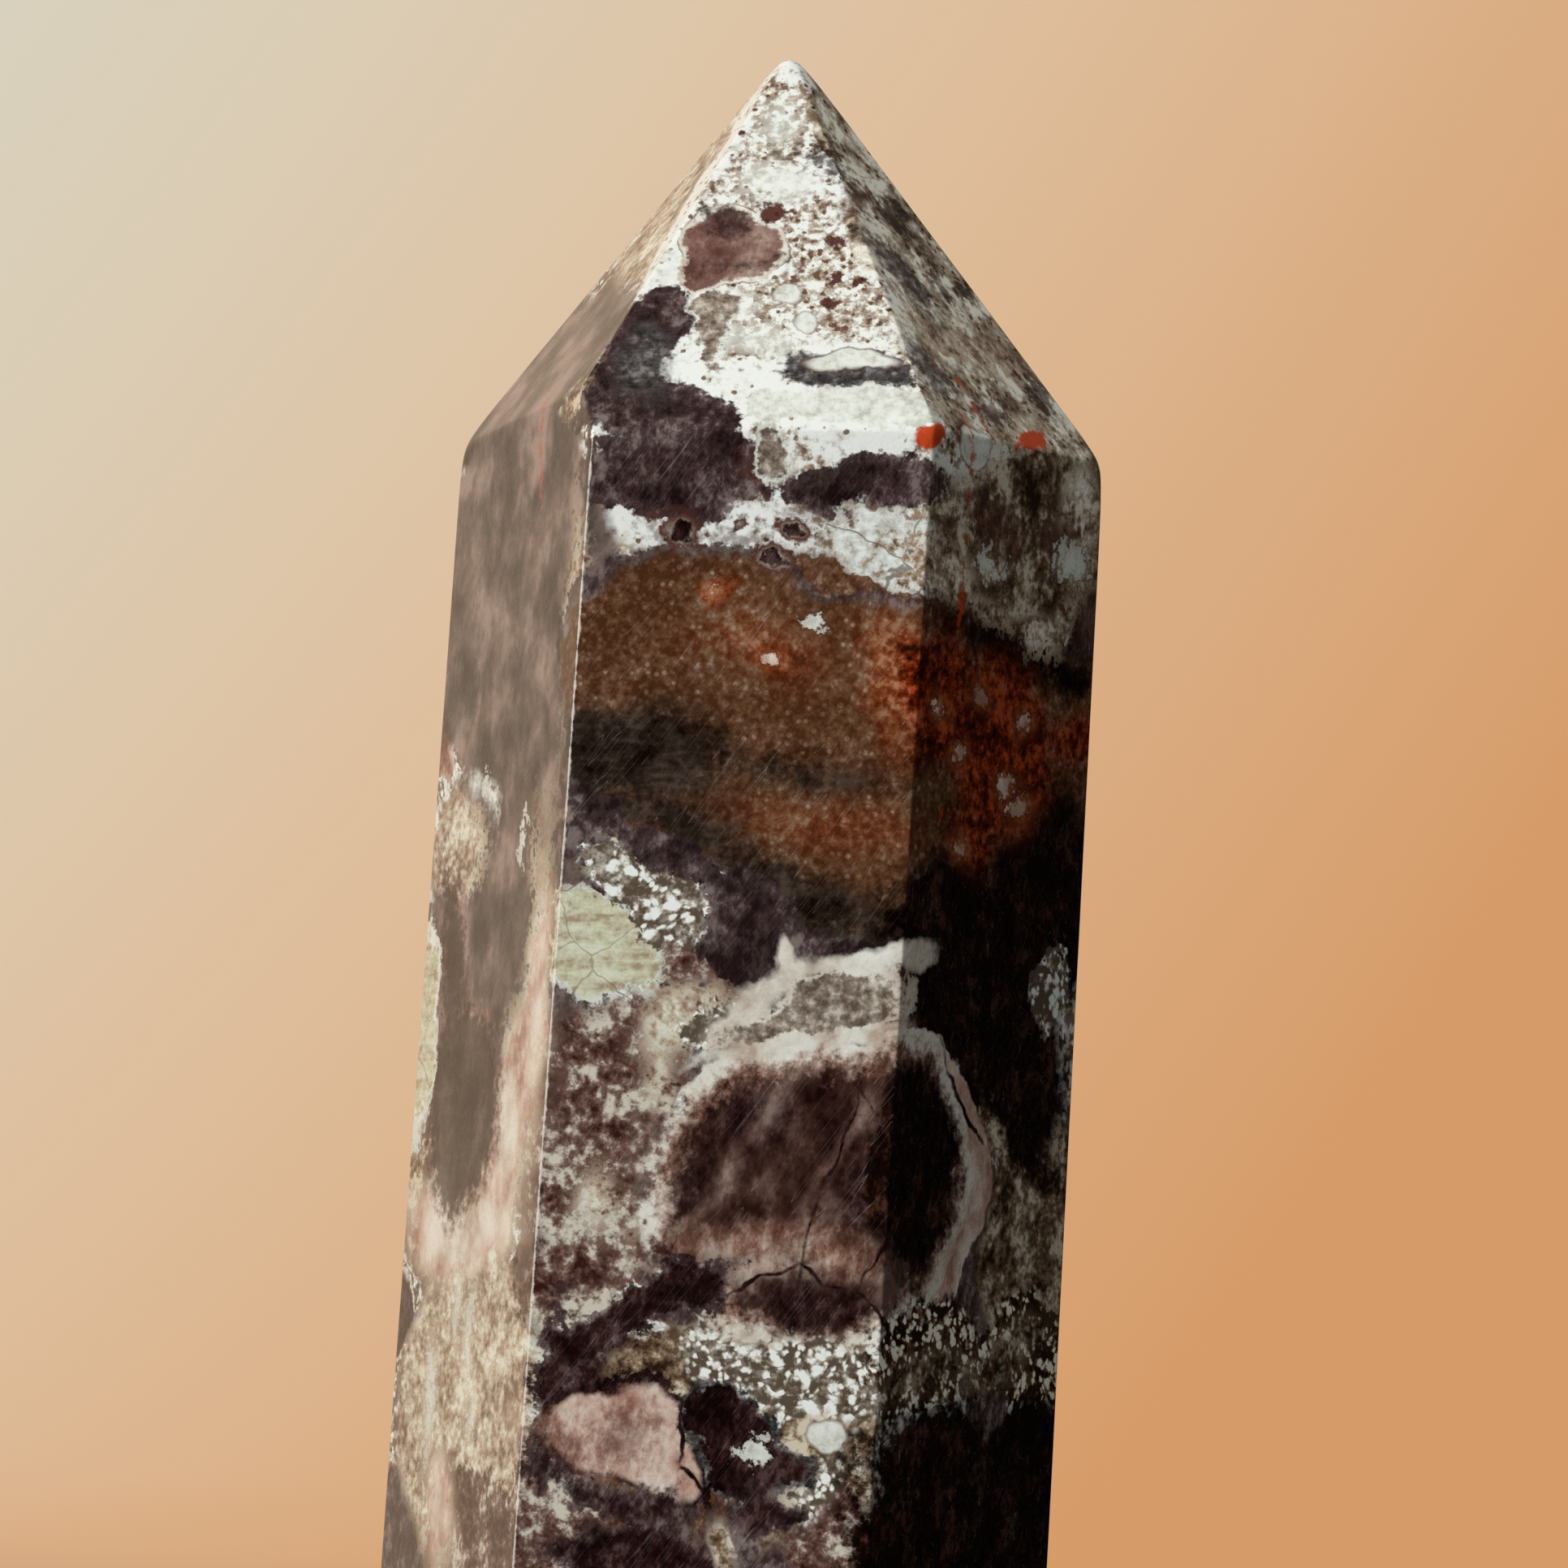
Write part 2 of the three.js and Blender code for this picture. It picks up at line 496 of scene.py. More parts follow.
@dataclass(frozen=True)
class NoiseKind:
    """How a noise texture lies in the stone.

    scale is how often it swings per millimetre, and detail and rough how fine and strong its small
    swings are. stretch scales it along each axis once turn has tilted it, in degrees. A bent one follows
    the bent places.
    """

    scale: float
    detail: float
    rough: float = 0.5
    turn: float = 0.0
    stretch: Triple | None = None
    bent: bool = False


NOISES = {
    Texture.MOTTLE: NoiseKind(0.5, 5, 0.62, bent=True),
    Texture.FIBRE: NoiseKind(1.0, 5, 0.72, turn=6, stretch=(2.3, 2.3, 1.4)),
    Texture.STREAK: NoiseKind(1.0, 3, 0.6, turn=-4, stretch=(0.35, 0.35, 1.9)),
    Texture.SPECK: NoiseKind(2.2, 4, 0.64),
    Texture.FINE: NoiseKind(7.0, 1),
    Texture.CLOUD: NoiseKind(1.0, 3, turn=8, stretch=(0.45, 0.45, 0.33)),
}


@dataclass(frozen=True)
class Cluster:
    """Round spots of one size that stand in some cells and not in others.

    scale is how many cells there are to a millimetre. lots are the cell numbers between which a spot
    goes from missing to whole, and drawn is how much the mottle sways them. sizes are the distances from
    a cell's middle between which the spot fades in, and ragged is how much the specks sway them.
    """

    scale: float
    lots: tuple[float, float]
    sizes: tuple[float, float]
    ragged: float
    drawn: float = 0.0
    bent: bool = True


GRAIN_SIZES = (
    Cluster(1.4, (0.2, 0.5), (0.5, 0.05), -0.2),
    Cluster(2.7, (0.2, 0.5), (0.5, 0.05), -0.2),
)
SMALL_DOTS = Cluster(2.6, (0.85, 0.6), (0.55, 0.35), 0.25, drawn=0.7, bent=False)


@dataclass(frozen=True)
class Palette:
    """A kind of stone: its tones along a blend of textures.

    places say where along the blend the tones lie. cracked is how strongly the net of fine cracks
    darkens it.
    """

    blend: tuple[tuple[Texture, float], ...]
    tones: tuple[Colour, ...]
    cracked: float = 0.0
    places: tuple[float, ...] = (0.1, 0.4, 0.6, 0.9)


class Stone(Enum):
    """The kinds of stone that make up the breccia, from their darkest to their palest tone."""

    MAROON = Palette(
        ((Texture.FIBRE, 0.7), (Texture.MOTTLE, 0.7)),
        ((0.016, 0.008, 0.008), (0.040, 0.024, 0.024), (0.062, 0.040, 0.039), (0.17, 0.135, 0.125)),
    )
    DARK_MAROON = Palette(
        ((Texture.FIBRE, 0.7), (Texture.MOTTLE, 0.7)),
        ((0.004, 0.001, 0.001), (0.014, 0.005, 0.005), (0.026, 0.011, 0.01), (0.07, 0.04, 0.036)),
    )
    # Near-black stone of the right face, darker than the same dark stone on the lit faces: partly its own
    # colour, partly painted shade of the side that faces away from the key light.
    JET_IN_SHADE = Palette(
        ((Texture.FIBRE, 0.6), (Texture.MOTTLE, 0.6)),
        ((0.001, 0.0003, 0.0002), (0.003, 0.001, 0.0007), (0.008, 0.0025, 0.0015), (0.05, 0.02, 0.012)),
    )
    BROWN = Palette(
        ((Texture.FIBRE, 0.35), (Texture.CLOUD, 0.7), (Texture.MOTTLE, 0.25)),
        ((0.008, 0.002, 0.002), (0.028, 0.011, 0.008), (0.05, 0.023, 0.017), (0.12, 0.07, 0.057)),
    )
    FELT = Palette(
        ((Texture.FIBRE, 0.25), (Texture.CLOUD, 0.8)),
        ((0.03, 0.024, 0.02), (0.08, 0.062, 0.053), (0.14, 0.10, 0.085), (0.27, 0.20, 0.17)),
    )
    FLESH = Palette(
        ((Texture.MOTTLE, 0.9), (Texture.SPECK, 0.6)),
        ((0.028, 0.008, 0.006), (0.09, 0.045, 0.036), (0.17, 0.11, 0.088), (0.52, 0.49, 0.41)),
    )
    ROSY = Palette(
        ((Texture.CLOUD, 0.7), (Texture.FIBRE, 0.4)),
        ((0.08, 0.033, 0.027), (0.15, 0.078, 0.064), (0.22, 0.135, 0.11), (0.38, 0.29, 0.235)),
    )
    BLUSH = Palette(
        ((Texture.CLOUD, 0.8), (Texture.FIBRE, 0.4)),
        ((0.30, 0.16, 0.12), (0.44, 0.30, 0.24), (0.54, 0.43, 0.36), (0.62, 0.57, 0.49)),
    )
    IVORY = Palette(
        ((Texture.CLOUD, 0.7), (Texture.SPECK, 0.3)),
        ((0.40, 0.32, 0.25), (0.53, 0.49, 0.42), (0.60, 0.59, 0.52), (0.67, 0.68, 0.63)),
    )
    PINK = Palette(
        ((Texture.FIBRE, 0.6), (Texture.CLOUD, 0.7)),
        ((0.12, 0.045, 0.03), (0.25, 0.13, 0.09), (0.41, 0.27, 0.21), (0.57, 0.48, 0.40)),
        cracked=0.3,
    )
    CHALK = Palette(
        ((Texture.MOTTLE, 0.5), (Texture.SPECK, 0.5), (Texture.DOTS, -0.75)),
        ((0.16, 0.11, 0.075), (0.42, 0.40, 0.33), (0.56, 0.57, 0.52), (0.68, 0.71, 0.68)),
    )
    PEPPER = Palette(
        ((Texture.SPECK, 0.9), (Texture.DOTS, -0.6), (Texture.MOTTLE, 0.4)),
        ((0.12, 0.06, 0.038), (0.32, 0.255, 0.19), (0.50, 0.49, 0.42), (0.68, 0.71, 0.68)),
        places=(0.35, 0.66, 0.84, 1.0),
    )
    SANDY = Palette(
        ((Texture.MOTTLE, 0.7), (Texture.SPECK, 0.6)),
        ((0.13, 0.08, 0.055), (0.33, 0.25, 0.18), (0.47, 0.42, 0.32), (0.64, 0.66, 0.57)),
    )
    CREAM = Palette(
        ((Texture.SPECK, 0.8), (Texture.MOTTLE, 0.5)),
        ((0.27, 0.21, 0.15), (0.45, 0.45, 0.40), (0.55, 0.58, 0.54), (0.68, 0.73, 0.71)),
        cracked=0.7,
    )
    BUFF = Palette(
        ((Texture.SPECK, 0.6), (Texture.MOTTLE, 0.6)),
        ((0.08, 0.04, 0.02), (0.32, 0.235, 0.16), (0.58, 0.53, 0.42), (0.84, 0.84, 0.75)),
    )
    OLIVE = Palette(
        ((Texture.MOTTLE, 0.9), (Texture.SPECK, 0.6)),
        ((0.018, 0.009, 0.005), (0.10, 0.06, 0.035), (0.21, 0.15, 0.092), (0.56, 0.50, 0.39)),
    )
    TAN = Palette(
        ((Texture.MOTTLE, 0.9), (Texture.SPECK, 0.35), (Texture.DOTS, -0.4)),
        ((0.035, 0.02, 0.011), (0.17, 0.12, 0.08), (0.35, 0.30, 0.225), (0.70, 0.69, 0.60)),
        places=(0.2, 0.5, 0.72, 1.0),
    )
    RUST = Palette(
        ((Texture.MOTTLE, 0.4), (Texture.SPECK, 0.7), (Texture.DOTS, 0.4)),
        ((0.055, 0.02, 0.007), (0.10, 0.044, 0.02), (0.14, 0.074, 0.042), (0.27, 0.20, 0.15)),
    )
    EMBER = Palette(
        ((Texture.SPECK, 0.8), (Texture.MOTTLE, 0.6)),
        ((0.07, 0.012, 0.003), (0.15, 0.03, 0.008), (0.22, 0.06, 0.02), (0.38, 0.18, 0.09)),
    )
    SMOULDER = Palette(
        ((Texture.SPECK, 0.8), (Texture.MOTTLE, 0.6)),
        ((0.016, 0.002, 0.0005), (0.07, 0.007, 0.001), (0.17, 0.019, 0.003), (0.36, 0.065, 0.016)),
    )
    RED = Palette(
        ((Texture.SPECK, 0.5),),
        ((0.22, 0.022, 0.006), (0.45, 0.055, 0.012)),
    )
    BLACK = Palette(
        ((Texture.STREAK, 0.35), (Texture.CLOUD, 0.6), (Texture.SPECK, 0.5)),
        ((0.005, 0.002, 0.001), (0.015, 0.009, 0.006), (0.025, 0.016, 0.011), (0.055, 0.038, 0.028)),
    )
    YELLOW = Palette(
        ((Texture.SPECK, 0.5), (Texture.STREAK, 0.6)),
        ((0.32, 0.25, 0.16), (0.46, 0.45, 0.32), (0.52, 0.53, 0.38), (0.58, 0.60, 0.48)),
        cracked=0.4,
    )
    LENS = Palette(
        ((Texture.SPECK, 0.9), (Texture.MOTTLE, 0.4)),
        ((0.09, 0.065, 0.048), (0.19, 0.15, 0.12), (0.27, 0.23, 0.18), (0.46, 0.43, 0.37)),
    )
    WHITE = Palette(
        ((Texture.SPECK, 0.6), (Texture.MOTTLE, 0.4)),
        ((0.40, 0.40, 0.34), (0.54, 0.56, 0.50), (0.62, 0.65, 0.60), (0.69, 0.71, 0.68)),
    )
    UMBER = Palette(
        ((Texture.SPECK, 0.6),),
        ((0.018, 0.007, 0.006), (0.085, 0.032, 0.024)),
    )
    SLATE = Palette(
        ((Texture.SPECK, 0.8), (Texture.STREAK, 0.4)),
        ((0.014, 0.013, 0.014), (0.042, 0.038, 0.038), (0.075, 0.07, 0.068), (0.20, 0.19, 0.18)),
    )
    GRIT = Palette(
        ((Texture.GRAINS, 0.9), (Texture.SPECK, 0.4), (Texture.MOTTLE, 0.5)),
        ((0.012, 0.005, 0.002), (0.11, 0.06, 0.028), (0.27, 0.20, 0.126), (0.80, 0.80, 0.68)),
        places=(0.05, 0.3, 0.45, 0.68),
    )
    GRAINS = Palette(
        ((Texture.GRAINS, 0.8), (Texture.SPECK, 0.4), (Texture.MOTTLE, 0.35)),
        ((0.09, 0.065, 0.045), (0.28, 0.25, 0.20), (0.50, 0.49, 0.43), (0.72, 0.76, 0.73)),
        places=(0.05, 0.27, 0.43, 0.65),
    )


@dataclass(frozen=True)
class Patch:
    """A place where a kind of stone shows: an ellipsoid, in millimetres.

    across and height give its middle on a flat, and depth sinks it. wide, tall and deep are its half
    sizes, and turn turns it on the flat, in degrees.
    """

    cut: Cut
    across: float
    height: float
    wide: float
    tall: float
    turn: float = 0.0
    deep: float = 2.0
    depth: float = 0.0


@dataclass(frozen=True)
class Ring:
    """One shell of a marking.

    grow is how far it reaches past the patch. wavy and frayed are how far its edge wanders, and soft
    is how far it fades, all in millimetres. cover is how much it hides.
    """

    stone: Stone
    grow: float = 0.0
    wavy: float = 0.6
    frayed: float = 0.3
    soft: float = 0.1
    cover: float = 1.0


@dataclass(frozen=True)
class Marking:
    """Patches that join into one form, dressed in rings from the widest to the narrowest.

    melt is how smoothly the patches run together, in millimetres. At 0 they meet sharply.
    """

    name: str
    rings: tuple[Ring, ...]
    patches: tuple[Patch, ...]
    melt: float = 0.6


MARKINGS = (
    Marking(
        "olive matrix",
        (Ring(Stone.OLIVE, frayed=0.6, soft=0.4),),
        (
            Patch(Cut.RIGHT, 4.5, 40, 4.2, 7, deep=3),
            Patch(Cut.RIGHT, 0.5, 74, 9, 5.5, deep=4),
            Patch(Cut.FRONT, 2.5, 32, 7, 3.6, deep=3),
            Patch(Cut.FRONT, 6.0, 27.5, 4, 1.6, turn=25),
        ),
    ),
    Marking(
        "sandy matrix",
        (Ring(Stone.SANDY, frayed=0.6, soft=0.5),),
        (
            Patch(Cut.TIP_LEFT, 2.0, 90, 7, 8.5, deep=3),
            Patch(Cut.LEFT, 1.0, 31, 8, 7.5, deep=4),
        ),
    ),
    Marking(
        "chalk",
        (Ring(Stone.CHALK, frayed=0.6, soft=0.3),),
        (
            Patch(Cut.TIP_FRONT, 0.6, 86.5, 8.5, 13, deep=1.2),
            Patch(Cut.TIP_FRONT, 3.0, 77, 6, 3.2),
            Patch(Cut.FRONT, -2.0, 71.8, 6.4, 1.5),
            Patch(Cut.FRONT, 1.3, 74.5, 1.2, 2.0),
            Patch(Cut.RIGHT, -6.4, 76.0, 2.0, 1.6),
        ),
    ),
    Marking(
        "speckled chalk of the point",
        (Ring(Stone.PEPPER, wavy=0.9, frayed=1.0, soft=0.6, cover=0.95),),
        (
            Patch(Cut.TIP_FRONT, 3.4, 84.2, 2.2, 5.5, turn=22),
            Patch(Cut.TIP_FRONT, 1.0, 82.0, 2.2, 2.2),
            Patch(Cut.TIP_FRONT, -1.6, 88.4, 1.2, 2.4, turn=-25),
            Patch(Cut.TIP_FRONT, -1.0, 80.6, 1.8, 1.6),
            Patch(Cut.TIP_FRONT, -0.6, 91.4, 1.4, 3.2),
            Patch(Cut.FRONT, 1.2, 74.6, 2.0, 1.4),
            Patch(Cut.RIGHT, -5.6, 75.6, 2.4, 1.6),
        ),
    ),
    Marking(
        "clean chalk of the point",
        (Ring(Stone.WHITE, wavy=0.9, frayed=1.0, soft=0.5, cover=0.8),),
        (
            Patch(Cut.TIP_FRONT, -0.5, 91.6, 0.5, 0.8),
            Patch(Cut.TIP_FRONT, -0.2, 88.7, 1.4, 0.9),
            Patch(Cut.TIP_FRONT, -4.4, 84.0, 0.9, 2.4, turn=-34),
            Patch(Cut.TIP_FRONT, 0.4, 80.4, 1.6, 0.7),
        ),
    ),
    Marking(
        "tan of the right facet",
        (Ring(Stone.TAN, wavy=0.3, soft=0.1),),
        (
            Patch(Cut.TIP_RIGHT, 0.0, 79.5, 8.0, 5.5, deep=0.7),
            Patch(Cut.TIP_RIGHT, 0.0, 84.5, 5.4, 6.0, deep=0.7),
            Patch(Cut.TIP_RIGHT, 0.0, 89.5, 3.2, 5.0, deep=0.7),
        ),
    ),
    Marking(
        "felt of the left face",
        (Ring(Stone.FELT, soft=0.5),),
        (
            Patch(Cut.LEFT, 0.0, 68.5, 10, 9, deep=3),
            Patch(Cut.TIP_LEFT, -1.0, 79.5, 8, 4.6, deep=2),
            Patch(Cut.LEFT, 4.0, 55, 4.6, 12, deep=2.5),
            Patch(Cut.LEFT, -3.5, 51, 5, 9, deep=2.5),
        ),
    ),
    Marking(
        "mottled stone around the great clast",
        (Ring(Stone.FLESH, wavy=0.9, frayed=0.6, soft=0.3),),
        (
            Patch(Cut.FRONT, -4.8, 43.5, 4.0, 7.0),
            Patch(Cut.LEFT, 6.4, 45.0, 1.4, 8.0),
            Patch(Cut.FRONT, -6.0, 36.4, 2.6, 3.0),
            Patch(Cut.FRONT, -1.4, 51.6, 2.2, 1.4),
            Patch(Cut.FRONT, -6.0, 26.0, 2.6, 3.6),
            Patch(Cut.FRONT, 6.8, 25.6, 2.2, 3.0),
            Patch(Cut.LEFT, 3.0, 25.0, 5.0, 3.0),
        ),
    ),
    Marking(
        "sandy patches",
        (Ring(Stone.SANDY, wavy=0.9, frayed=1.0, soft=0.3),),
        (
            Patch(Cut.LEFT, -4.6, 56.6, 3.6, 2.6),
            Patch(Cut.TIP_RIGHT, 0.6, 81.0, 3.6, 1.2, turn=-8),
            Patch(Cut.TIP_RIGHT, -3.2, 81.8, 0.8, 1.4, turn=20),
            Patch(Cut.TIP_RIGHT, 1.2, 77.6, 2.4, 0.7),
            Patch(Cut.LEFT, 6.9, 66.0, 1.1, 6.5, turn=2),
            Patch(Cut.LEFT, 5.0, 53.5, 0.6, 4.0, turn=4),
            Patch(Cut.FRONT, -1.6, 48.9, 2.4, 1.3, turn=25),
            Patch(Cut.FRONT, -2.6, 46.2, 0.6, 2.4, turn=12),
            Patch(Cut.FRONT, -4.9, 40.8, 0.9, 1.5),
            Patch(Cut.FRONT, -3.2, 41.5, 0.35, 2.4, turn=-4),
        ),
    ),
    Marking(
        "maroon under the point",
        (
            Ring(Stone.MAROON),
            Ring(Stone.DARK_MAROON, grow=-0.6, wavy=0.9, soft=0.6, cover=0.6),
        ),
        (
            Patch(Cut.TIP_FRONT, -5.2, 80.2, 1.9, 4.0, turn=-22),
            Patch(Cut.TIP_FRONT, -4.6, 76.9, 4.2, 1.6),
            Patch(Cut.FRONT, -3.6, 74.0, 4.8, 2.2),
            Patch(Cut.FRONT, 5.4, 73.8, 4.2, 1.5),
        ),
        melt=0.3,
    ),
    Marking(
        "rust",
        (
            Ring(Stone.MAROON, grow=0.5, wavy=0.9, cover=0.9),
            Ring(Stone.RUST, wavy=0.9, soft=0.3),
        ),
        (
            Patch(Cut.FRONT, -2.0, 65.0, 7.0, 5.4, deep=4),
            Patch(Cut.FRONT, -2.0, 58.2, 4.6, 2.0),
            Patch(Cut.FRONT, 7.5, 61.0, 8.4, 8.2, deep=9, depth=3),
            Patch(Cut.RIGHT, 5.0, 62.0, 6.5, 5.6, deep=3),
        ),
        melt=2.0,
    ),
    Marking(
        "black bands in the rust",
        (Ring(Stone.BLACK, wavy=0.9, soft=0.9),),
        (
            Patch(Cut.FRONT, -4.6, 61.2, 4.6, 2.2, turn=-6),
            Patch(Cut.FRONT, 1.8, 60.6, 4.0, 0.7, turn=2),
            Patch(Cut.FRONT, -2.2, 57.9, 4.4, 1.2, turn=-20),
            Patch(Cut.FRONT, 4.0, 54.9, 4.4, 1.3, turn=-20),
        ),
    ),
    # Partly painted shade: the right face's dark stone is laid darker than on the lit faces.
    Marking(
        "black high on the right face",
        (Ring(Stone.JET_IN_SHADE, wavy=0.9, soft=0.7),),
        (
            Patch(Cut.RIGHT, -2.5, 53.8, 6.0, 3.6, turn=-6),
            Patch(Cut.RIGHT, 4.5, 56.0, 4.5, 5.0),
            Patch(Cut.RIGHT, 1.0, 67.0, 7.5, 1.2, turn=-6),
            Patch(Cut.RIGHT, -2.6, 50.0, 4.6, 3.6, turn=-10),
            Patch(Cut.RIGHT, 3.4, 47.6, 3.4, 5.0, turn=20),
        ),
        melt=1.5,
    ),
    Marking(
        "embers",
        (Ring(Stone.EMBER, wavy=0.9, frayed=0.6, soft=1.0, cover=0.85),),
        (
            Patch(Cut.FRONT, 7.2, 65.2, 1.8, 3.0, deep=1.2),
        ),
    ),
    Marking(
        "glow of the right face",
        (Ring(Stone.SMOULDER, wavy=0.9, frayed=0.6, soft=1.0),),
        (
            Patch(Cut.RIGHT, 0.0, 62.6, 4.6, 4.2, turn=-15),
            Patch(Cut.RIGHT, -5.6, 64.6, 2.6, 3.0, deep=1.2),
            Patch(Cut.RIGHT, -2.2, 58.4, 1.8, 1.6),
            Patch(Cut.RIGHT, 6.0, 63.6, 2.0, 1.4),
        ),
    ),
    Marking(
        "glow low in the rust",
        (Ring(Stone.EMBER, wavy=0.9, frayed=1.0, soft=0.9, cover=0.45),),
        (
            Patch(Cut.FRONT, 5.0, 58.4, 4.0, 1.1, turn=-2),
            Patch(Cut.FRONT, 1.0, 66.2, 3.0, 1.5, turn=-20),
        ),
    ),
    Marking(
        "upper cream vein",
        (Ring(Stone.CREAM),),
        (
            Patch(Cut.FRONT, 2.6, 71.7, 2.2, 0.45, turn=-6),
            Patch(Cut.FRONT, 5.9, 70.8, 2.9, 0.95, turn=-30, deep=4),
            Patch(Cut.FRONT, 6.4, 72.0, 2.2, 0.7, turn=-20),
        ),
    ),
    Marking(
        "upper vein on the right face",
        (Ring(Stone.BUFF, wavy=0.9, frayed=1.0, soft=0.25),),
        (
            Patch(Cut.RIGHT, -5.6, 70.4, 2.6, 1.2, turn=-12),
            Patch(Cut.RIGHT, -1.6, 69.0, 2.2, 0.5, turn=-18),
            Patch(Cut.RIGHT, 2.6, 68.0, 1.5, 0.9, turn=-10),
            Patch(Cut.RIGHT, 4.6, 69.0, 1.6, 0.4, turn=30),
            Patch(Cut.RIGHT, 5.6, 74.2, 2.0, 2.0),
        ),
        melt=0.0,
    ),
    Marking(
        "stains in the upper vein",
        (Ring(Stone.UMBER, frayed=1.0, soft=0.4, cover=0.6),),
        (
            Patch(Cut.FRONT, -3.4, 71.4, 1.3, 0.7),
            Patch(Cut.FRONT, -0.4, 71.2, 1.2, 0.4, turn=-10),
            Patch(Cut.FRONT, 1.8, 72.4, 0.9, 0.3, turn=-20),
            Patch(Cut.FRONT, 0.4, 74.6, 1.0, 0.9),
            Patch(Cut.RIGHT, -1.0, 72.8, 2.0, 1.7),
            Patch(Cut.RIGHT, 4.0, 72.6, 1.6, 1.4),
        ),
    ),
    Marking(
        "maroon below the rust",
        (
            Ring(Stone.MAROON),
            Ring(Stone.DARK_MAROON, grow=-0.4, wavy=0.9, soft=0.5, cover=0.3),
        ),
        (
            Patch(Cut.FRONT, -5.9, 57.9, 2.2, 1.0, turn=-35),
            Patch(Cut.FRONT, -6.8, 56.6, 1.6, 1.0),
            Patch(Cut.FRONT, -2.6, 56.1, 2.6, 0.9, turn=-28),
            Patch(Cut.FRONT, 0.9, 53.2, 3.1, 2.4, turn=-20),
            Patch(Cut.FRONT, 5.0, 52.7, 3.4, 0.6, turn=-12),
        ),
        melt=0.4,
    ),
    Marking(
        "yellow patch",
        (Ring(Stone.CREAM, grow=0.2, frayed=0.6), Ring(Stone.YELLOW)),
        (
            Patch(Cut.FRONT, -6.0, 52.2, 2.8, 2.2, turn=-14),
            Patch(Cut.FRONT, -3.4, 51.4, 1.0, 1.4, turn=15),
        ),
    ),
    Marking(
        "upper grains",
        (Ring(Stone.GRAINS, frayed=0.6),),
        (
            Patch(Cut.FRONT, -5.2, 55.4, 2.0, 1.0, turn=-22),
            Patch(Cut.FRONT, -2.4, 53.6, 1.7, 1.5, turn=-40),
            Patch(Cut.FRONT, -0.2, 48.6, 1.6, 0.9, turn=25),
            Patch(Cut.RIGHT, 4.8, 51.8, 1.5, 2.0, turn=-15),
        ),
    ),
    Marking(
        "middle cream vein",
        (Ring(Stone.IVORY, wavy=0.3, frayed=0.1, soft=0.15),),
        (
            Patch(Cut.FRONT, 6.2, 51.9, 2.6, 0.42, turn=10, deep=3),
            Patch(Cut.FRONT, 2.9, 51.1, 1.8, 0.5, turn=28),
            Patch(Cut.FRONT, 1.0, 49.4, 1.8, 0.4, turn=38),
            Patch(Cut.FRONT, 3.2, 52.1, 0.55, 0.9, turn=-6),
            Patch(Cut.FRONT, 4.0, 48.1, 5.2, 0.7, turn=12),
            Patch(Cut.RIGHT, -6.2, 52.2, 1.4, 0.6, turn=20),
        ),
    ),
    Marking(
        "grey lens",
        (Ring(Stone.IVORY, grow=0.3), Ring(Stone.LENS, wavy=0.3)),
        (
            Patch(Cut.FRONT, 5.4, 50.0, 3.2, 1.3, turn=12),
            Patch(Cut.FRONT, 1.6, 48.7, 1.6, 0.5, turn=25),
        ),
    ),
    Marking(
        "wide rim on the right face",
        (Ring(Stone.BLUSH, wavy=0.3, frayed=0.1, soft=0.08),),
        (Patch(Cut.RIGHT, -6.4, 42.3, 6.9, 6.9, deep=1.6),),
    ),
    Marking(
        "great clast",
        (
            Ring(Stone.IVORY, grow=0.8, wavy=0.3, frayed=0.1, soft=0.08),
            Ring(Stone.PINK, grow=0.1, wavy=0.3, frayed=0.6, soft=0.45),
            Ring(Stone.BROWN, grow=-0.3, wavy=0.3, frayed=1.0, soft=0.7),
        ),
        (
            Patch(Cut.FRONT, 5.2, 41.2, 7.7, 6.2, deep=3.2),
            Patch(Cut.FRONT, 3.0, 43.2, 4.6, 3.6),
            Patch(Cut.RIGHT, -6.4, 42.6, 4.7, 5.6, deep=2.5),
        ),
    ),
    Marking(
        "dark lobes of the great clast",
        (Ring(Stone.DARK_MAROON, frayed=0.6, soft=0.8, cover=0.9),),
        (
            Patch(Cut.FRONT, 1.9, 44.7, 1.8, 1.3, turn=20),
            Patch(Cut.FRONT, -0.7, 41.2, 0.7, 2.2, turn=-16),
            Patch(Cut.FRONT, 7.2, 41.2, 1.4, 1.6),
            Patch(Cut.FRONT, 5.0, 36.3, 2.6, 1.4, turn=-4),
        ),
        melt=0.0,
    ),
    Marking(
        "pale heart of the great clast",
        (Ring(Stone.PINK, soft=0.8, cover=0.85),),
        (
            Patch(Cut.FRONT, 1.8, 39.2, 2.8, 0.6, turn=8),
            Patch(Cut.FRONT, 5.8, 39.0, 2.2, 0.5, turn=-8),
            Patch(Cut.FRONT, 2.4, 38.0, 1.8, 0.3, turn=14),
        ),
    ),
    Marking(
        "pale ridges of the great clast",
        (Ring(Stone.ROSY, wavy=0.3, soft=0.5, cover=0.7),),
        (
            Patch(Cut.FRONT, 1.6, 43.2, 0.2, 3.2, turn=-33),
            Patch(Cut.FRONT, 5.6, 43.0, 0.2, 2.6, turn=-26),
        ),
        melt=0.0,
    ),
    # Partly painted shade: the clast's dark core on the right face is laid darker than on the front.
    Marking(
        "the great clast on the right face",
        (Ring(Stone.JET_IN_SHADE, frayed=0.6, soft=0.6),),
        (Patch(Cut.RIGHT, -5.6, 42.8, 3.8, 4.7, deep=1.2),),
    ),
    Marking(
        "stone over the left rim of the great clast",
        (Ring(Stone.FLESH, wavy=0.9, frayed=1.0, soft=0.5, cover=0.9),),
        (
            Patch(Cut.FRONT, -3.2, 42.4, 0.9, 3.0, turn=-12),
            Patch(Cut.FRONT, -1.6, 37.6, 2.0, 0.8, turn=-25),
        ),
    ),
    Marking(
        "black band",
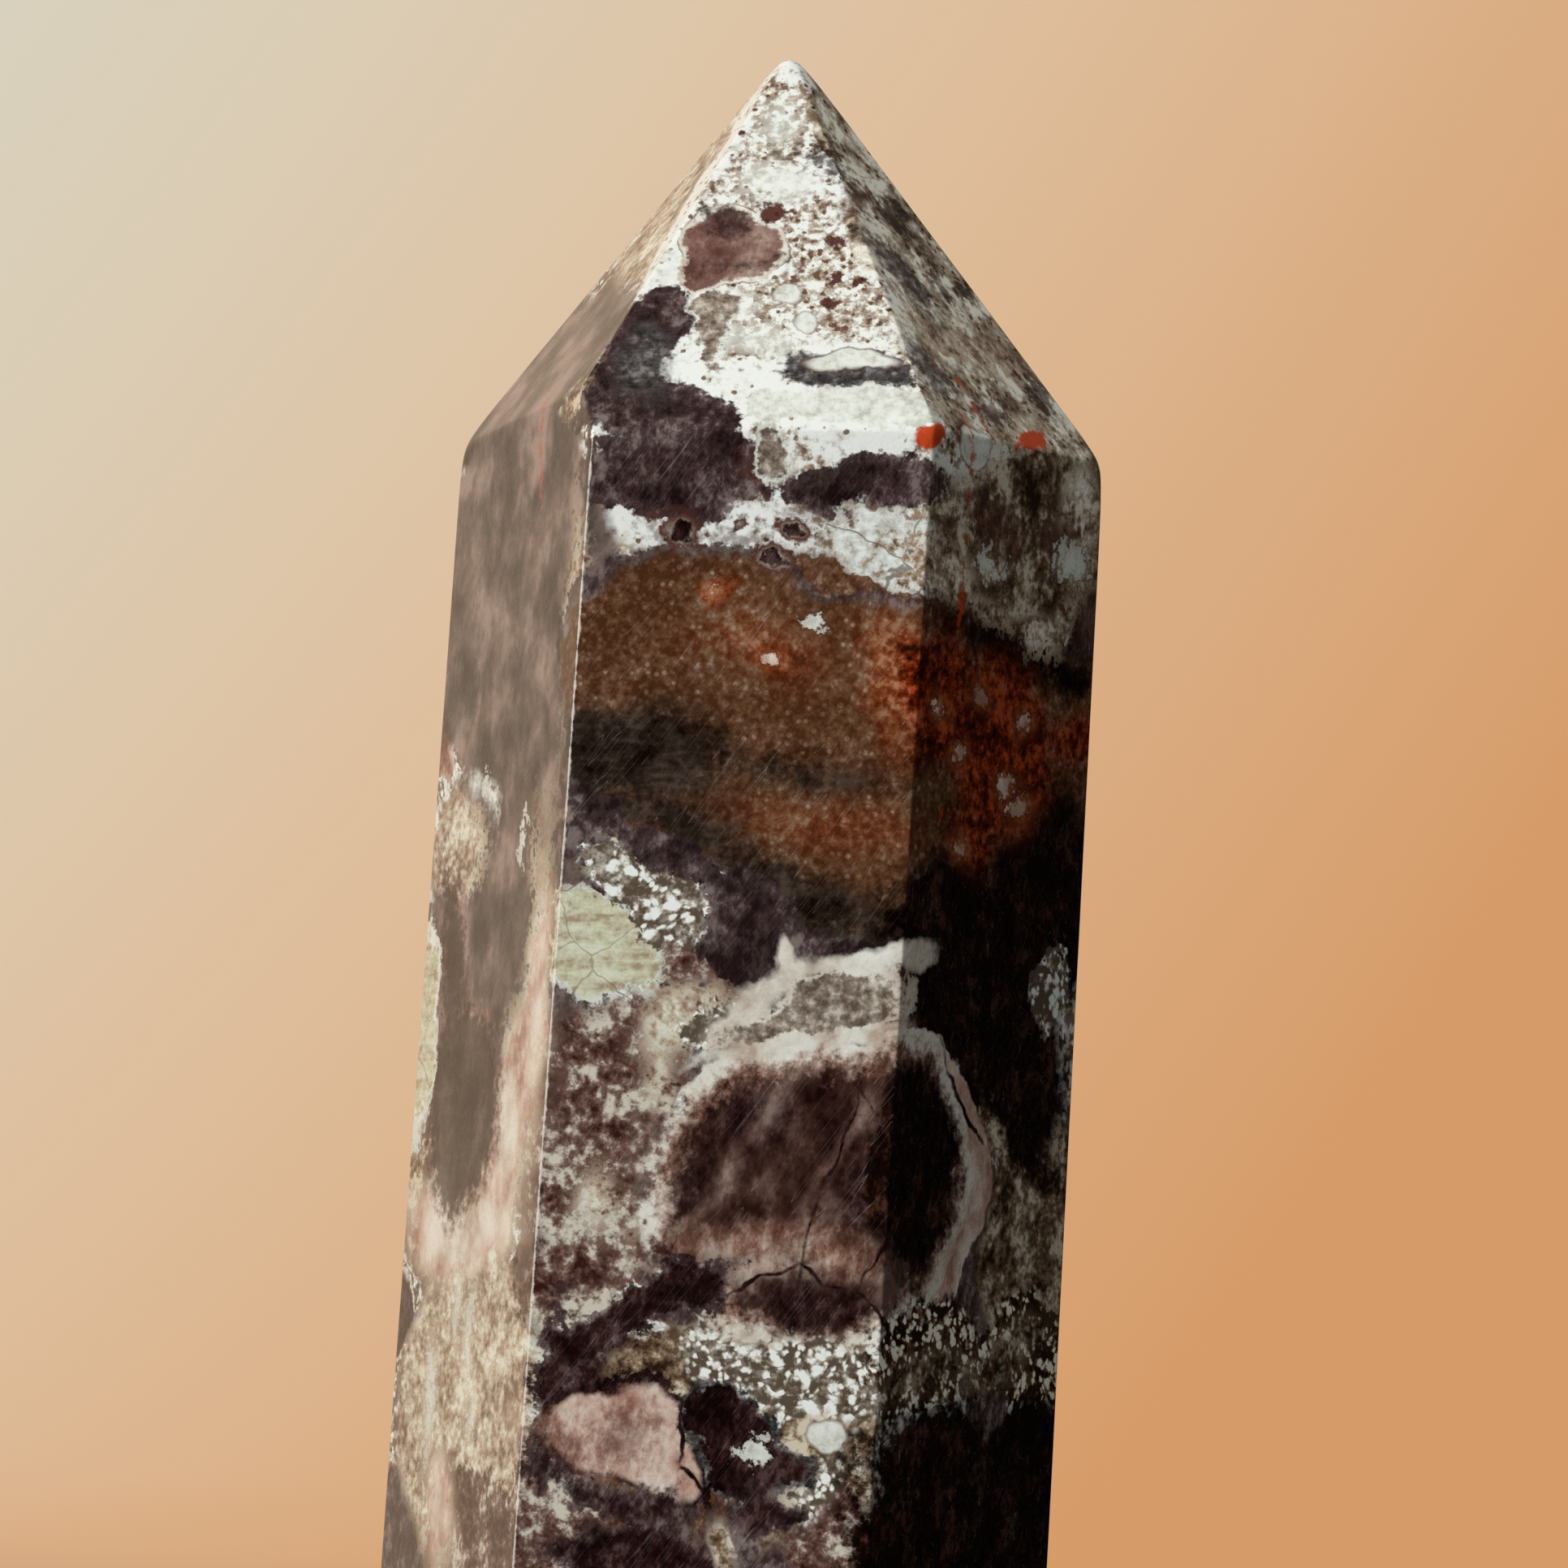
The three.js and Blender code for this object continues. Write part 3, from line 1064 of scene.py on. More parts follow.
        (Ring(Stone.MAROON, grow=0.3, frayed=0.6), Ring(Stone.DARK_MAROON)),
        (
            Patch(Cut.FRONT, -1.3, 36.8, 2.3, 0.9, turn=25),
            Patch(Cut.FRONT, -4.3, 34.7, 2.6, 0.9, turn=40),
            Patch(Cut.FRONT, -6.7, 31.8, 0.7, 2.8, turn=-6),
        ),
    ),
    Marking(
        "lower grains",
        (Ring(Stone.GRAINS, wavy=0.9, frayed=0.6, soft=0.3),),
        (
            Patch(Cut.FRONT, 0.6, 34.0, 1.8, 1.2, turn=-20),
            Patch(Cut.FRONT, 5.0, 33.0, 4.4, 1.9, turn=-4),
            Patch(Cut.FRONT, 5.6, 28.0, 0.8, 2.0, turn=-35),
        ),
    ),
    Marking(
        "lower grains of the right face",
        (Ring(Stone.GRIT, wavy=0.9, frayed=0.6, soft=0.3),),
        (
            Patch(Cut.RIGHT, -3.6, 34.4, 4.6, 2.6, turn=14),
            Patch(Cut.RIGHT, 2.6, 35.2, 4.4, 1.6, turn=18),
            Patch(Cut.RIGHT, 5.4, 34.4, 3.0, 2.6),
        ),
    ),
    Marking(
        "dark among the grains of the right face",
        (Ring(Stone.OLIVE, wavy=0.9, frayed=1.0, soft=0.4, cover=0.85),),
        (
            Patch(Cut.RIGHT, -4.0, 33.6, 3.6, 0.9, turn=14),
            Patch(Cut.RIGHT, 3.0, 34.6, 4.0, 1.1, turn=18),
        ),
    ),
    Marking(
        "pink clast",
        (
            Ring(Stone.DARK_MAROON, grow=0.4),
            Ring(Stone.BLUSH, wavy=0.3, frayed=0.1, soft=0.15),
        ),
        (
            Patch(Cut.FRONT, -4.5, 30.3, 2.3, 1.5, turn=4),
            Patch(Cut.FRONT, -3.0, 30.8, 2.2, 1.2),
            Patch(Cut.FRONT, -2.0, 30.0, 1.6, 1.9),
            Patch(Cut.FRONT, -1.3, 28.4, 1.9, 1.2, turn=-34),
        ),
        melt=0.8,
    ),
    Marking(
        "brown clouds in the pink clast",
        (
            Ring(Stone.PINK, grow=0.4, frayed=1.0, soft=0.9, cover=0.8),
            Ring(Stone.ROSY, grow=-0.2, frayed=1.0, soft=0.7, cover=0.85),
        ),
        (
            Patch(Cut.FRONT, -2.9, 30.2, 1.0, 0.9),
            Patch(Cut.FRONT, -5.2, 29.4, 0.9, 0.3, turn=-20),
        ),
    ),
    Marking(
        "dark patch beside the pink clast",
        (Ring(Stone.SLATE, grow=0.25), Ring(Stone.DARK_MAROON)),
        (
            Patch(Cut.FRONT, 1.6, 30.8, 2.0, 1.4, turn=-12),
            Patch(Cut.FRONT, 3.0, 29.0, 2.4, 1.6, turn=-12),
        ),
    ),
    Marking(
        "dark maroon low on the front",
        (Ring(Stone.MAROON, frayed=0.6, soft=0.3), Ring(Stone.DARK_MAROON, grow=-0.3, soft=0.4)),
        (
            Patch(Cut.FRONT, -3.2, 27.2, 4.2, 0.9, turn=-16),
            Patch(Cut.FRONT, -1.6, 24.4, 4.6, 1.8),
            Patch(Cut.FRONT, 3.2, 26.6, 2.0, 1.2, turn=20),
        ),
    ),
    # Partly painted shade: the right face's dark stone is laid darker than on the lit faces.
    Marking(
        "black foot of the right face",
        (Ring(Stone.JET_IN_SHADE, wavy=0.9, frayed=0.6, soft=0.5),),
        (
            Patch(Cut.RIGHT, 0.0, 27.0, 9.5, 4.4, turn=8),
            Patch(Cut.RIGHT, 5.5, 28.2, 4.5, 4.6),
            Patch(Cut.RIGHT, -3.0, 29.8, 5.5, 2.4, turn=8),
        ),
    ),
    Marking(
        "cream halo on the left face",
        (
            Ring(Stone.SANDY, grow=0.5, frayed=1.0, soft=0.5),
            Ring(Stone.BLUSH, frayed=0.6, soft=0.4),
            Ring(Stone.IVORY, grow=-0.8, frayed=0.6, soft=0.6, cover=0.8),
        ),
        (
            Patch(Cut.LEFT, -1.2, 39.2, 5.8, 2.6),
            Patch(Cut.LEFT, 3.6, 43.6, 1.8, 4.6, turn=-4),
            Patch(Cut.LEFT, 5.8, 49.6, 1.0, 5.5),
            Patch(Cut.LEFT, -1.4, 26.0, 1.5, 2.4, turn=10),
        ),
        melt=1.5,
    ),
    Marking(
        "brown clast on the left face",
        (
            Ring(Stone.ROSY, grow=0.5, wavy=0.3, frayed=1.0, soft=0.5, cover=0.8),
            Ring(Stone.BLACK, wavy=0.3, frayed=1.0, soft=0.4, cover=0.85),
        ),
        (
            Patch(Cut.LEFT, -2.0, 44.6, 4.2, 4.6, turn=10),
            Patch(Cut.LEFT, -4.6, 51.4, 1.4, 4.2, turn=14),
        ),
        melt=1.2,
    ),
    Marking(
        "yellow oval on the left face",
        (Ring(Stone.WHITE, grow=0.35), Ring(Stone.YELLOW)),
        (Patch(Cut.LEFT, -7.5, 48.3, 1.3, 4.6),),
    ),
    Marking(
        "round clast of the point",
        (
            Ring(Stone.TAN, grow=0.22, wavy=0.3, frayed=0.1, soft=0.04),
            Ring(Stone.IVORY, grow=0.13, wavy=0.3, frayed=0.1, soft=0.04),
            Ring(Stone.ROSY, grow=-0.1, wavy=0.3, soft=0.12),
        ),
        (
            Patch(Cut.TIP_FRONT, -1.7, 85.3, 2.4, 2.3, turn=22, deep=3),
            Patch(Cut.TIP_FRONT, -3.0, 84.0, 1.3, 1.3, deep=3),
        ),
    ),
    Marking(
        "dark of the round clast",
        (Ring(Stone.DARK_MAROON, wavy=0.3, frayed=0.6, soft=0.35, cover=0.75),),
        (
            Patch(Cut.TIP_FRONT, -2.0, 86.5, 1.3, 0.9, turn=-10),
            Patch(Cut.TIP_FRONT, -1.0, 84.4, 1.2, 0.3, turn=8),
        ),
    ),
    Marking(
        "brown of the right facet",
        (Ring(Stone.BROWN, wavy=0.9, frayed=1.0, soft=0.4, cover=0.8),),
        (
            Patch(Cut.TIP_RIGHT, -2.2, 89.4, 0.7, 1.7, turn=18),
            Patch(Cut.TIP_RIGHT, 0.4, 87.6, 1.3, 1.0),
            Patch(Cut.TIP_RIGHT, 3.4, 83.8, 0.8, 0.7),
            Patch(Cut.TIP_RIGHT, 1.5, 84.2, 0.9, 1.3),
            Patch(Cut.TIP_RIGHT, -1.2, 78.5, 1.3, 0.9),
            Patch(Cut.TIP_RIGHT, 4.6, 79.6, 1.2, 1.2),
        ),
        melt=0.3,
    ),
    Marking(
        "grey clasts of the point",
        (Ring(Stone.WHITE, grow=0.15), Ring(Stone.LENS, wavy=0.3)),
        (
            Patch(Cut.TIP_FRONT, -2.1, 82.2, 1.5, 0.9, turn=-8),
            Patch(Cut.TIP_FRONT, -2.0, 81.0, 0.9, 1.1, turn=6),
            Patch(Cut.TIP_FRONT, -1.8, 79.7, 0.35, 1.2, turn=6),
            Patch(Cut.TIP_FRONT, 1.2, 75.4, 0.7, 0.9),
        ),
    ),
    Marking(
        "slate of the point",
        (Ring(Stone.SLATE, wavy=0.3, soft=0.15),),
        (
            Patch(Cut.TIP_FRONT, 4.4, 79.3, 3.1, 1.2, turn=-3),
            Patch(Cut.TIP_FRONT, 2.3, 79.6, 0.9, 1.0),
        ),
    ),
    Marking(
        "soft grey shadows of the point",
        (Ring(Stone.SLATE, frayed=0.6, soft=0.6, cover=0.85),),
        (
            Patch(Cut.TIP_FRONT, -4.9, 79.0, 1.4, 1.8),
            Patch(Cut.TIP_RIGHT, -2.3, 84.3, 1.0, 2.4, turn=20),
            Patch(Cut.TIP_RIGHT, -4.9, 79.8, 1.1, 1.9, turn=20),
        ),
    ),
    Marking(
        "white of the point",
        (Ring(Stone.WHITE),),
        (
            Patch(Cut.TIP_FRONT, 4.9, 77.5, 3.3, 1.3, turn=-3),
            Patch(Cut.TIP_FRONT, 1.2, 77.6, 1.6, 1.0, turn=10),
        ),
    ),
    Marking(
        "flecks",
        (Ring(Stone.WHITE, frayed=1.0, soft=0.15),),
        (
            Patch(Cut.FRONT, 3.2, 67.3, 0.35, 0.35),
            Patch(Cut.FRONT, 3.0, 29.7, 0.8, 0.7),
            Patch(Cut.LEFT, -0.8, 36.0, 0.25, 1.2),
            Patch(Cut.LEFT, 0.6, 33.5, 0.3, 1.6),
            Patch(Cut.LEFT, 1.6, 30.8, 0.3, 1.0),
            Patch(Cut.LEFT, -3.4, 31.0, 0.4, 2.0),
            Patch(Cut.RIGHT, -1.9, 71.1, 0.9, 0.4),
            Patch(Cut.RIGHT, 5.3, 71.4, 1.2, 0.9),
            Patch(Cut.LEFT, -2.0, 59.8, 0.3, 0.6),
            Patch(Cut.LEFT, 3.2, 57.6, 0.4, 0.9),
        ),
        melt=0.0,
    ),
    Marking(
        "pale spots with a red rim in the rust",
        (
            Ring(Stone.EMBER, grow=0.4, wavy=0.3, frayed=0.6, soft=0.2, cover=0.9),
            Ring(Stone.BLUSH, grow=-0.1, wavy=0.3, frayed=0.6, soft=0.08),
        ),
        (
            Patch(Cut.RIGHT, -5.4, 64.2, 0.4, 0.3),
            Patch(Cut.RIGHT, -2.2, 64.7, 0.5, 0.4),
            Patch(Cut.RIGHT, 1.6, 64.0, 0.6, 0.4),
            Patch(Cut.RIGHT, -3.8, 62.0, 0.5, 0.35),
            Patch(Cut.RIGHT, 0.6, 61.0, 0.6, 0.4),
            Patch(Cut.RIGHT, 1.7, 60.1, 0.7, 0.4),
            Patch(Cut.RIGHT, -3.2, 58.0, 0.5, 0.4),
            Patch(Cut.FRONT, -1.2, 68.6, 0.35, 0.3),
            Patch(Cut.FRONT, 1.4, 65.6, 0.4, 0.35),
        ),
        melt=0.0,
    ),
    Marking(
        "pale pebbles",
        (
            Ring(Stone.UMBER, grow=0.12, wavy=0.1, frayed=0.1, soft=0.05, cover=0.5),
            Ring(Stone.WHITE, wavy=0.1, frayed=0.1),
        ),
        (
            Patch(Cut.TIP_FRONT, 4.5, 79.7, 2.0, 0.55, turn=-3),
            Patch(Cut.TIP_FRONT, 0.9, 82.7, 0.6, 0.6),
            Patch(Cut.TIP_FRONT, 1.9, 81.5, 0.62, 0.55),
            Patch(Cut.RIGHT, -3.9, 76.2, 1.3, 0.9, turn=20),
            Patch(Cut.FRONT, 6.1, 30.6, 1.0, 0.85),
        ),
        melt=0.0,
    ),
    Marking(
        "brown spots of the point",
        (Ring(Stone.UMBER, wavy=0.3),),
        (
            Patch(Cut.TIP_FRONT, 0.0, 87.2, 0.7, 0.4, turn=-15),
            Patch(Cut.TIP_FRONT, 3.1, 82.5, 0.4, 0.4),
            Patch(Cut.TIP_FRONT, 4.1, 83.8, 0.3, 0.4),
            Patch(Cut.TIP_FRONT, 3.0, 84.1, 0.35, 0.4),
            Patch(Cut.TIP_FRONT, 3.1, 85.6, 0.6, 0.25),
            Patch(Cut.TIP_FRONT, -2.2, 90.9, 0.25, 0.3),
        ),
        melt=0.0,
    ),
    Marking(
        "rusty stain of the point",
        (Ring(Stone.RUST, frayed=0.6, soft=0.5, cover=0.7),),
        (Patch(Cut.TIP_FRONT, 3.2, 88.0, 0.8, 1.7, turn=-8),),
    ),
    Marking(
        "red beads",
        (Ring(Stone.RED, wavy=0.1, frayed=0.1),),
        (
            Patch(Cut.RIGHT, -7.3, 76.2, 0.8, 0.65, turn=30),
            Patch(Cut.RIGHT, 1.2, 76.8, 1.5, 0.45, turn=5),
        ),
        melt=0.0,
    ),
    Marking(
        "ooids",
        (
            Ring(Stone.UMBER, wavy=0.1, soft=0.1),
            Ring(Stone.LENS, grow=-0.2, wavy=0.1, soft=0.1, cover=0.8),
            Ring(Stone.DARK_MAROON, grow=-0.3, wavy=0.1, soft=0.1),
        ),
        (
            Patch(Cut.FRONT, -3.2, 71.4, 0.8, 0.7),
            Patch(Cut.FRONT, -0.1, 72.0, 0.45, 0.4),
            Patch(Cut.FRONT, 2.2, 71.7, 0.85, 0.65),
            Patch(Cut.FRONT, 1.3, 70.0, 1.0, 0.75),
        ),
        melt=0.0,
    ),
    Marking(
        "great cracks",
        (Ring(Stone.DARK_MAROON, wavy=0.06, frayed=0.05, soft=0.05),),
        (
            Patch(Cut.FRONT, 7.4, 44.6, 0.08, 1.7, turn=35),
            Patch(Cut.FRONT, 5.5, 42.2, 0.08, 3.9, turn=-13.5),
            Patch(Cut.FRONT, 2.45, 37.4, 2.1, 0.09, turn=22),
            Patch(Cut.FRONT, 5.6, 37.85, 1.25, 0.09, turn=-17),
            Patch(Cut.FRONT, 7.95, 36.4, 1.6, 0.09, turn=-43),
            Patch(Cut.FRONT, 7.6, 39.1, 0.07, 1.8, turn=-25),
            Patch(Cut.FRONT, -0.6, 30.2, 0.1, 1.6),
            Patch(Cut.FRONT, 0.1, 28.05, 0.9, 0.1, turn=-41),
            Patch(Cut.FRONT, 1.2, 28.05, 0.08, 0.7, turn=-38),
            Patch(Cut.RIGHT, -2.0, 46.4, 0.12, 2.8, turn=42),
        ),
        melt=0.0,
    ),
    Marking(
        "small clast at the foot",
        (Ring(Stone.LENS, grow=0.25, soft=0.2), Ring(Stone.OLIVE, wavy=0.3, soft=0.2)),
        (Patch(Cut.FRONT, 1.5, 25.4, 0.6, 0.9, turn=10),),
    ),
    Marking(
        "orange veins",
        (Ring(Stone.RED, wavy=0.3, soft=0.08, cover=0.7),),
        (
            Patch(Cut.LEFT, 1.7, 76.0, 0.08, 1.6, turn=4),
            Patch(Cut.TIP_RIGHT, -2.6, 78.0, 0.08, 1.6, turn=5),
            Patch(Cut.RIGHT, -4.3, 72.8, 0.08, 4.5, turn=-2),
        ),
        melt=0.0,
    ),
)


# The lot from which a fragment of the breccia is of each kind. Below the first it is maroon.
FRAGMENTS = (
    (0.30, Stone.DARK_MAROON),
    (0.48, Stone.OLIVE),
    (0.60, Stone.RUST),
    (0.70, Stone.BROWN),
    (0.82, Stone.CHALK),
    (0.92, Stone.PINK),
)
LOT_STEP = 0.002


@dataclass(frozen=True)
class Polish:
    """The gloss and the marks of polishing.

    Roughness starts at least_rough and grows with the stone's brightness by pale_rough. Hair lines are
    the places where a stretched noise crosses its middle, within hair_width. They are rougher by
    hair_rough, show with hair_cover where the mottle lets them, and are hair_depth deep in a relief that
    is relief metres high. The pale line along the ridge between the front and the left face is a painted
    highlight that stands in for the glint of that edge. It fades in between the heights of glint_reach over
    the farther of its two flats, in millimetres.
    """

    ior: float = 1.54
    least_rough: float = 0.16
    pale_rough: float = 0.22
    hair_turn: float = 34
    hair_stretch: Triple = (2.6, 2.6, 0.1)
    hair_width: float = 0.006
    hair_cover: float = 0.22
    hair_colour: Colour = (0.45, 0.42, 0.40)
    hair_rough: float = 0.2
    hair_depth: float = -0.5
    relief: float = 0.00001
    relief_strength: float = 0.5
    # Painted highlight: a pale line along the ridge between the front and the left face, in place of that
    # edge's glint.
    glint_sway: float = 0.08
    glint_reach: tuple[float, float] = (-0.06, 0.0)
    glint_cover: float = 0.65
    glint_colour: Colour = (0.68, 0.64, 0.58)


@dataclass
class JasperMaterial:
    """The polished breccia, as a pattern that fills the stone.

    bends are pairs of frequency and reach that bend the pattern, with bend_detail finer swings. contrast
    is how far the textures are spread. fragment_size and crack_size are those of the fragments and of the
    net of fine cracks, in millimetres. fringe, rim and grains are the distances from a fragment's border
    between which each fades in, and fragment_sway and fringe_sway are how far the textures push them. far
    is how far from a placed form its distance is still told.
    """

    flats: TowerFlats
    name: str = "polished_breccia"
    polish: Polish = Polish()
    bends: tuple[tuple[float, float], ...] = ((0.22, 2.4), (1.2, 0.45))
    bend_detail: float = 2
    contrast: float = 3.0
    fragment_size: float = 9.5
    fragment_sway: tuple[tuple[Texture, float], ...] = ((Texture.MOTTLE, 1.2), (Texture.CLOUD, -1.2))
    fringe_sway: float = 0.8
    fringe: tuple[float, float] = (1.3, 0.5)
    rim: tuple[float, float] = (0.5, 0.4)
    grains: tuple[float, float] = (0.1, 0.0)
    crack_size: float = 3.4
    crack_width: float = 0.05
    crack_core: float = 0.3
    crack_colour: Colour = (0.06, 0.028, 0.022)
    far: float = 4.0
    sheet: NodeSheet | None = None
    place: bpy.types.NodeSocket | None = None
    warped: bpy.types.NodeSocket | None = None
    crack: bpy.types.NodeSocket | None = None
    textures: dict[Texture, bpy.types.NodeSocket] = field(default_factory=dict)
    colours: dict[Stone, bpy.types.NodeSocket] = field(default_factory=dict)
    edges: dict[tuple[float, float], bpy.types.NodeSocket] = field(default_factory=dict)

    def build(self) -> bpy.types.Material:
        """Makes the material."""
        material = bpy.data.materials.new(self.name)
        material.use_nodes = True
        self.sheet = NodeSheet(material.node_tree)
        self._places()
        self._textures()
        colour = self._breccia()
        for marking in MARKINGS:
            colour = self._marked(marking, colour)
        # Painted highlight along the ridge between the front and the left face.
        colour = self._painted_ridge_glint(colour)
        self._shade(material.node_tree.nodes["Principled BSDF"], colour)
        LOG.info("%s: %d nodes", self.name, len(material.node_tree.nodes))
        return material

    def _places(self) -> None:
        """Reads the place in the stone in millimetres, and bends a copy of it."""
        sheet = self.sheet
        metres = sheet.add("ShaderNodeTexCoord").outputs["Object"]
        self.place = sheet.vector("SCALE", metres, 1 / MM)
        bent = self.place
        for scale, reach in self.bends:
            drift = sheet.noise(self.place, scale, self.bend_detail).outputs["Color"]
            drift = sheet.vector("SUBTRACT", drift, (0.5, 0.5, 0.5))
            bent = sheet.vector("MULTIPLY_ADD", drift, (reach, reach, reach), bent)
        self.warped = bent

    def _swing(self, value: object, contrast: float) -> bpy.types.NodeSocket:
        """Widens a texture's swing about a half."""
        return self.sheet.line(value, contrast, 0.5 - contrast / 2)

    def _textures(self) -> None:
        """Makes the textures that the palettes and the ragged edges share."""
        sheet = self.sheet
        lies = {
            texture: sheet.stretched(self.place, kind.turn, kind.stretch)
            for texture, kind in NOISES.items()
            if kind.stretch
        }
        noises = {}
        for texture, kind in NOISES.items():
            where = lies.get(texture, self.warped if kind.bent else self.place)
            noises[texture] = sheet.noise(where, kind.scale, kind.detail, kind.rough)
        for texture, node in noises.items():
            self.textures[texture] = self._swing(node.outputs[0], self.contrast)
        grains = [self._clustered(cluster) for cluster in GRAIN_SIZES]
        self.textures[Texture.GRAINS] = sheet.math("MAXIMUM", *grains)
        self.textures[Texture.DOTS] = self._clustered(SMALL_DOTS)
        edges = sheet.cells(self.warped, 1 / self.crack_size, "DISTANCE_TO_EDGE")
        width = self.crack_width / self.crack_size
        self.crack = sheet.smooth(edges.outputs["Distance"], width, width * self.crack_core)

    def _clustered(self, cluster: Cluster) -> bpy.types.NodeSocket:
        """A mask of one size of round spots."""
        sheet, speck = self.sheet, self.textures[Texture.SPECK]
        cells = sheet.cells(self.warped if cluster.bent else self.place, cluster.scale)
        lot = sheet.add("ShaderNodeSeparateColor", {0: cells.outputs["Color"]}).outputs[0]
        if cluster.drawn:
            lot = sheet.math("MULTIPLY_ADD", self.textures[Texture.MOTTLE], cluster.drawn, lot)
        kept = sheet.smooth(lot, *cluster.lots)
        ragged = sheet.math("MULTIPLY_ADD", speck, cluster.ragged, cells.outputs["Distance"])
        return sheet.math("MULTIPLY", kept, sheet.smooth(ragged, *cluster.sizes))

    def _colour(self, stone: Stone) -> bpy.types.NodeSocket:
        """The colour that a kind of stone has at each place, made once."""
        if stone in self.colours:
            return self.colours[stone]
        sheet, palette = self.sheet, stone.value
        start = 0.5 - 0.5 * sum(weight for _, weight in palette.blend)
        (texture, weight), *others = palette.blend
        value = sheet.line(self.textures[texture], weight, start)
        for texture, weight in others:
            value = sheet.math("MULTIPLY_ADD", self.textures[texture], weight, value)
        colour = sheet.ramp(value, list(zip(palette.places, palette.tones)))
        if palette.cracked:
            share = sheet.math("MULTIPLY", self.crack, palette.cracked)
            colour = sheet.mix(share, colour, self.crack_colour)
        self.colours[stone] = colour
        return colour

    def _breccia(self) -> bpy.types.NodeSocket:
        """The fragments that fill the stone where no marking is placed."""
        sheet = self.sheet
        cells = sheet.cells(self.warped, 1 / self.fragment_size)
        lot = sheet.add("ShaderNodeSeparateColor", {0: cells.outputs["Color"]}).outputs[0]
        border = sheet.cells(self.warped, 1 / self.fragment_size, "DISTANCE_TO_EDGE").outputs["Distance"]
        edge = sheet.math("MULTIPLY", border, self.fragment_size)
        for texture, sway in self.fragment_sway:
            edge = sheet.math("MULTIPLY_ADD", self.textures[texture], sway, edge)
        colour = self._colour(Stone.MAROON)
        for start, stone in FRAGMENTS:
            colour = sheet.mix(sheet.smooth(lot, start, start + LOT_STEP), colour, self._colour(stone))
        fringe = sheet.math("MULTIPLY_ADD", self.textures[Texture.FIBRE], self.fringe_sway, edge)
        colour = sheet.mix(sheet.smooth(fringe, *self.fringe), colour, self._colour(Stone.PINK))
        colour = sheet.mix(sheet.smooth(edge, *self.rim), colour, self._colour(Stone.CREAM))
        return sheet.mix(sheet.smooth(edge, *self.grains), colour, self._colour(Stone.GRAINS))

    def _distance(self, patch: Patch) -> bpy.types.NodeSocket:
        """How far each place is outside a patch, in millimetres, or far where it is farther than that."""
        flat = self.flats.find(*patch.cut.value)
        turn = Matrix.Rotation(math.radians(patch.turn), 3, flat.normal)
        ways = (turn @ flat.across(), turn @ flat.rise(), flat.normal)
        reach = min(patch.wide, patch.tall)
        feeds = {"Vector": self.warped}
        ball = self.sheet.add("ShaderNodeTexGradient", feeds, gradient_type="SPHERICAL")
        mapping = ball.texture_mapping
        mapping.vector_type = "TEXTURE"
        mapping.translation = flat.place(patch.across, patch.height, patch.depth)
        mapping.rotation = Matrix(ways).transposed().to_euler()
        mapping.scale = Vector((patch.wide, patch.tall, patch.deep)) * (1 + self.far / reach)
        return self.sheet.line(ball.outputs["Fac"], -reach - self.far, self.far)

    def _raggedness(self, ring: Ring) -> bpy.types.NodeSocket:
        """How far a ring's edge wanders at each place, made once for all rings that wander alike."""
        key = (ring.wavy, ring.frayed)
        if key not in self.edges:
            start = -0.5 * (ring.wavy + ring.frayed)
            waves = self.sheet.line(self.textures[Texture.MOTTLE], ring.wavy, start)
            speck = self.textures[Texture.SPECK]
            self.edges[key] = self.sheet.math("MULTIPLY_ADD", speck, ring.frayed, waves)
        return self.edges[key]

    def _marked(self, marking: Marking, colour: bpy.types.NodeSocket) -> bpy.types.NodeSocket:
        """Lays one marking over the stone.

        Args:
            marking: what is laid.
            colour: the stone's colour so far.

        Returns:
            The colour with the marking on it.
        """
        LOG.debug("marking: %s", marking.name)
        sheet = self.sheet
        distance = None
        for patch in marking.patches:
            nearer = self._distance(patch)
            if distance is None:
                distance = nearer
            elif marking.melt:
                distance = sheet.math("SMOOTH_MIN", distance, nearer, marking.melt)
            else:
                distance = sheet.math("MINIMUM", distance, nearer)
        for ring in marking.rings:
            edge = sheet.math("ADD", distance, self._raggedness(ring))
            share = sheet.smooth(edge, ring.grow + ring.soft, ring.grow - ring.soft, ring.cover)
            colour = sheet.mix(share, colour, self._colour(ring.stone))
        return colour

    def _painted_ridge_glint(self, colour: bpy.types.NodeSocket) -> bpy.types.NodeSocket:
        """Lays a painted highlight along the ridge between the front and the left face: a pale line in
        place of that edge's glint.
        """
        sheet = self.sheet
        levels = []
        for side in (Side.FRONT, Side.LEFT):
            flat = self.flats.find(Kind.FACE, side)
            reach = sheet.vector("DOT_PRODUCT", self.place, flat.normal)
            levels.append(sheet.line(reach, 1.0, -flat.offset))
        inner = sheet.math("MINIMUM", *levels)
        inner = sheet.math("MULTIPLY_ADD", self.textures[Texture.SPECK], self.polish.glint_sway, inner)
        share = sheet.smooth(inner, *self.polish.glint_reach, self.polish.glint_cover)
        return sheet.mix(share, colour, self.polish.glint_colour)

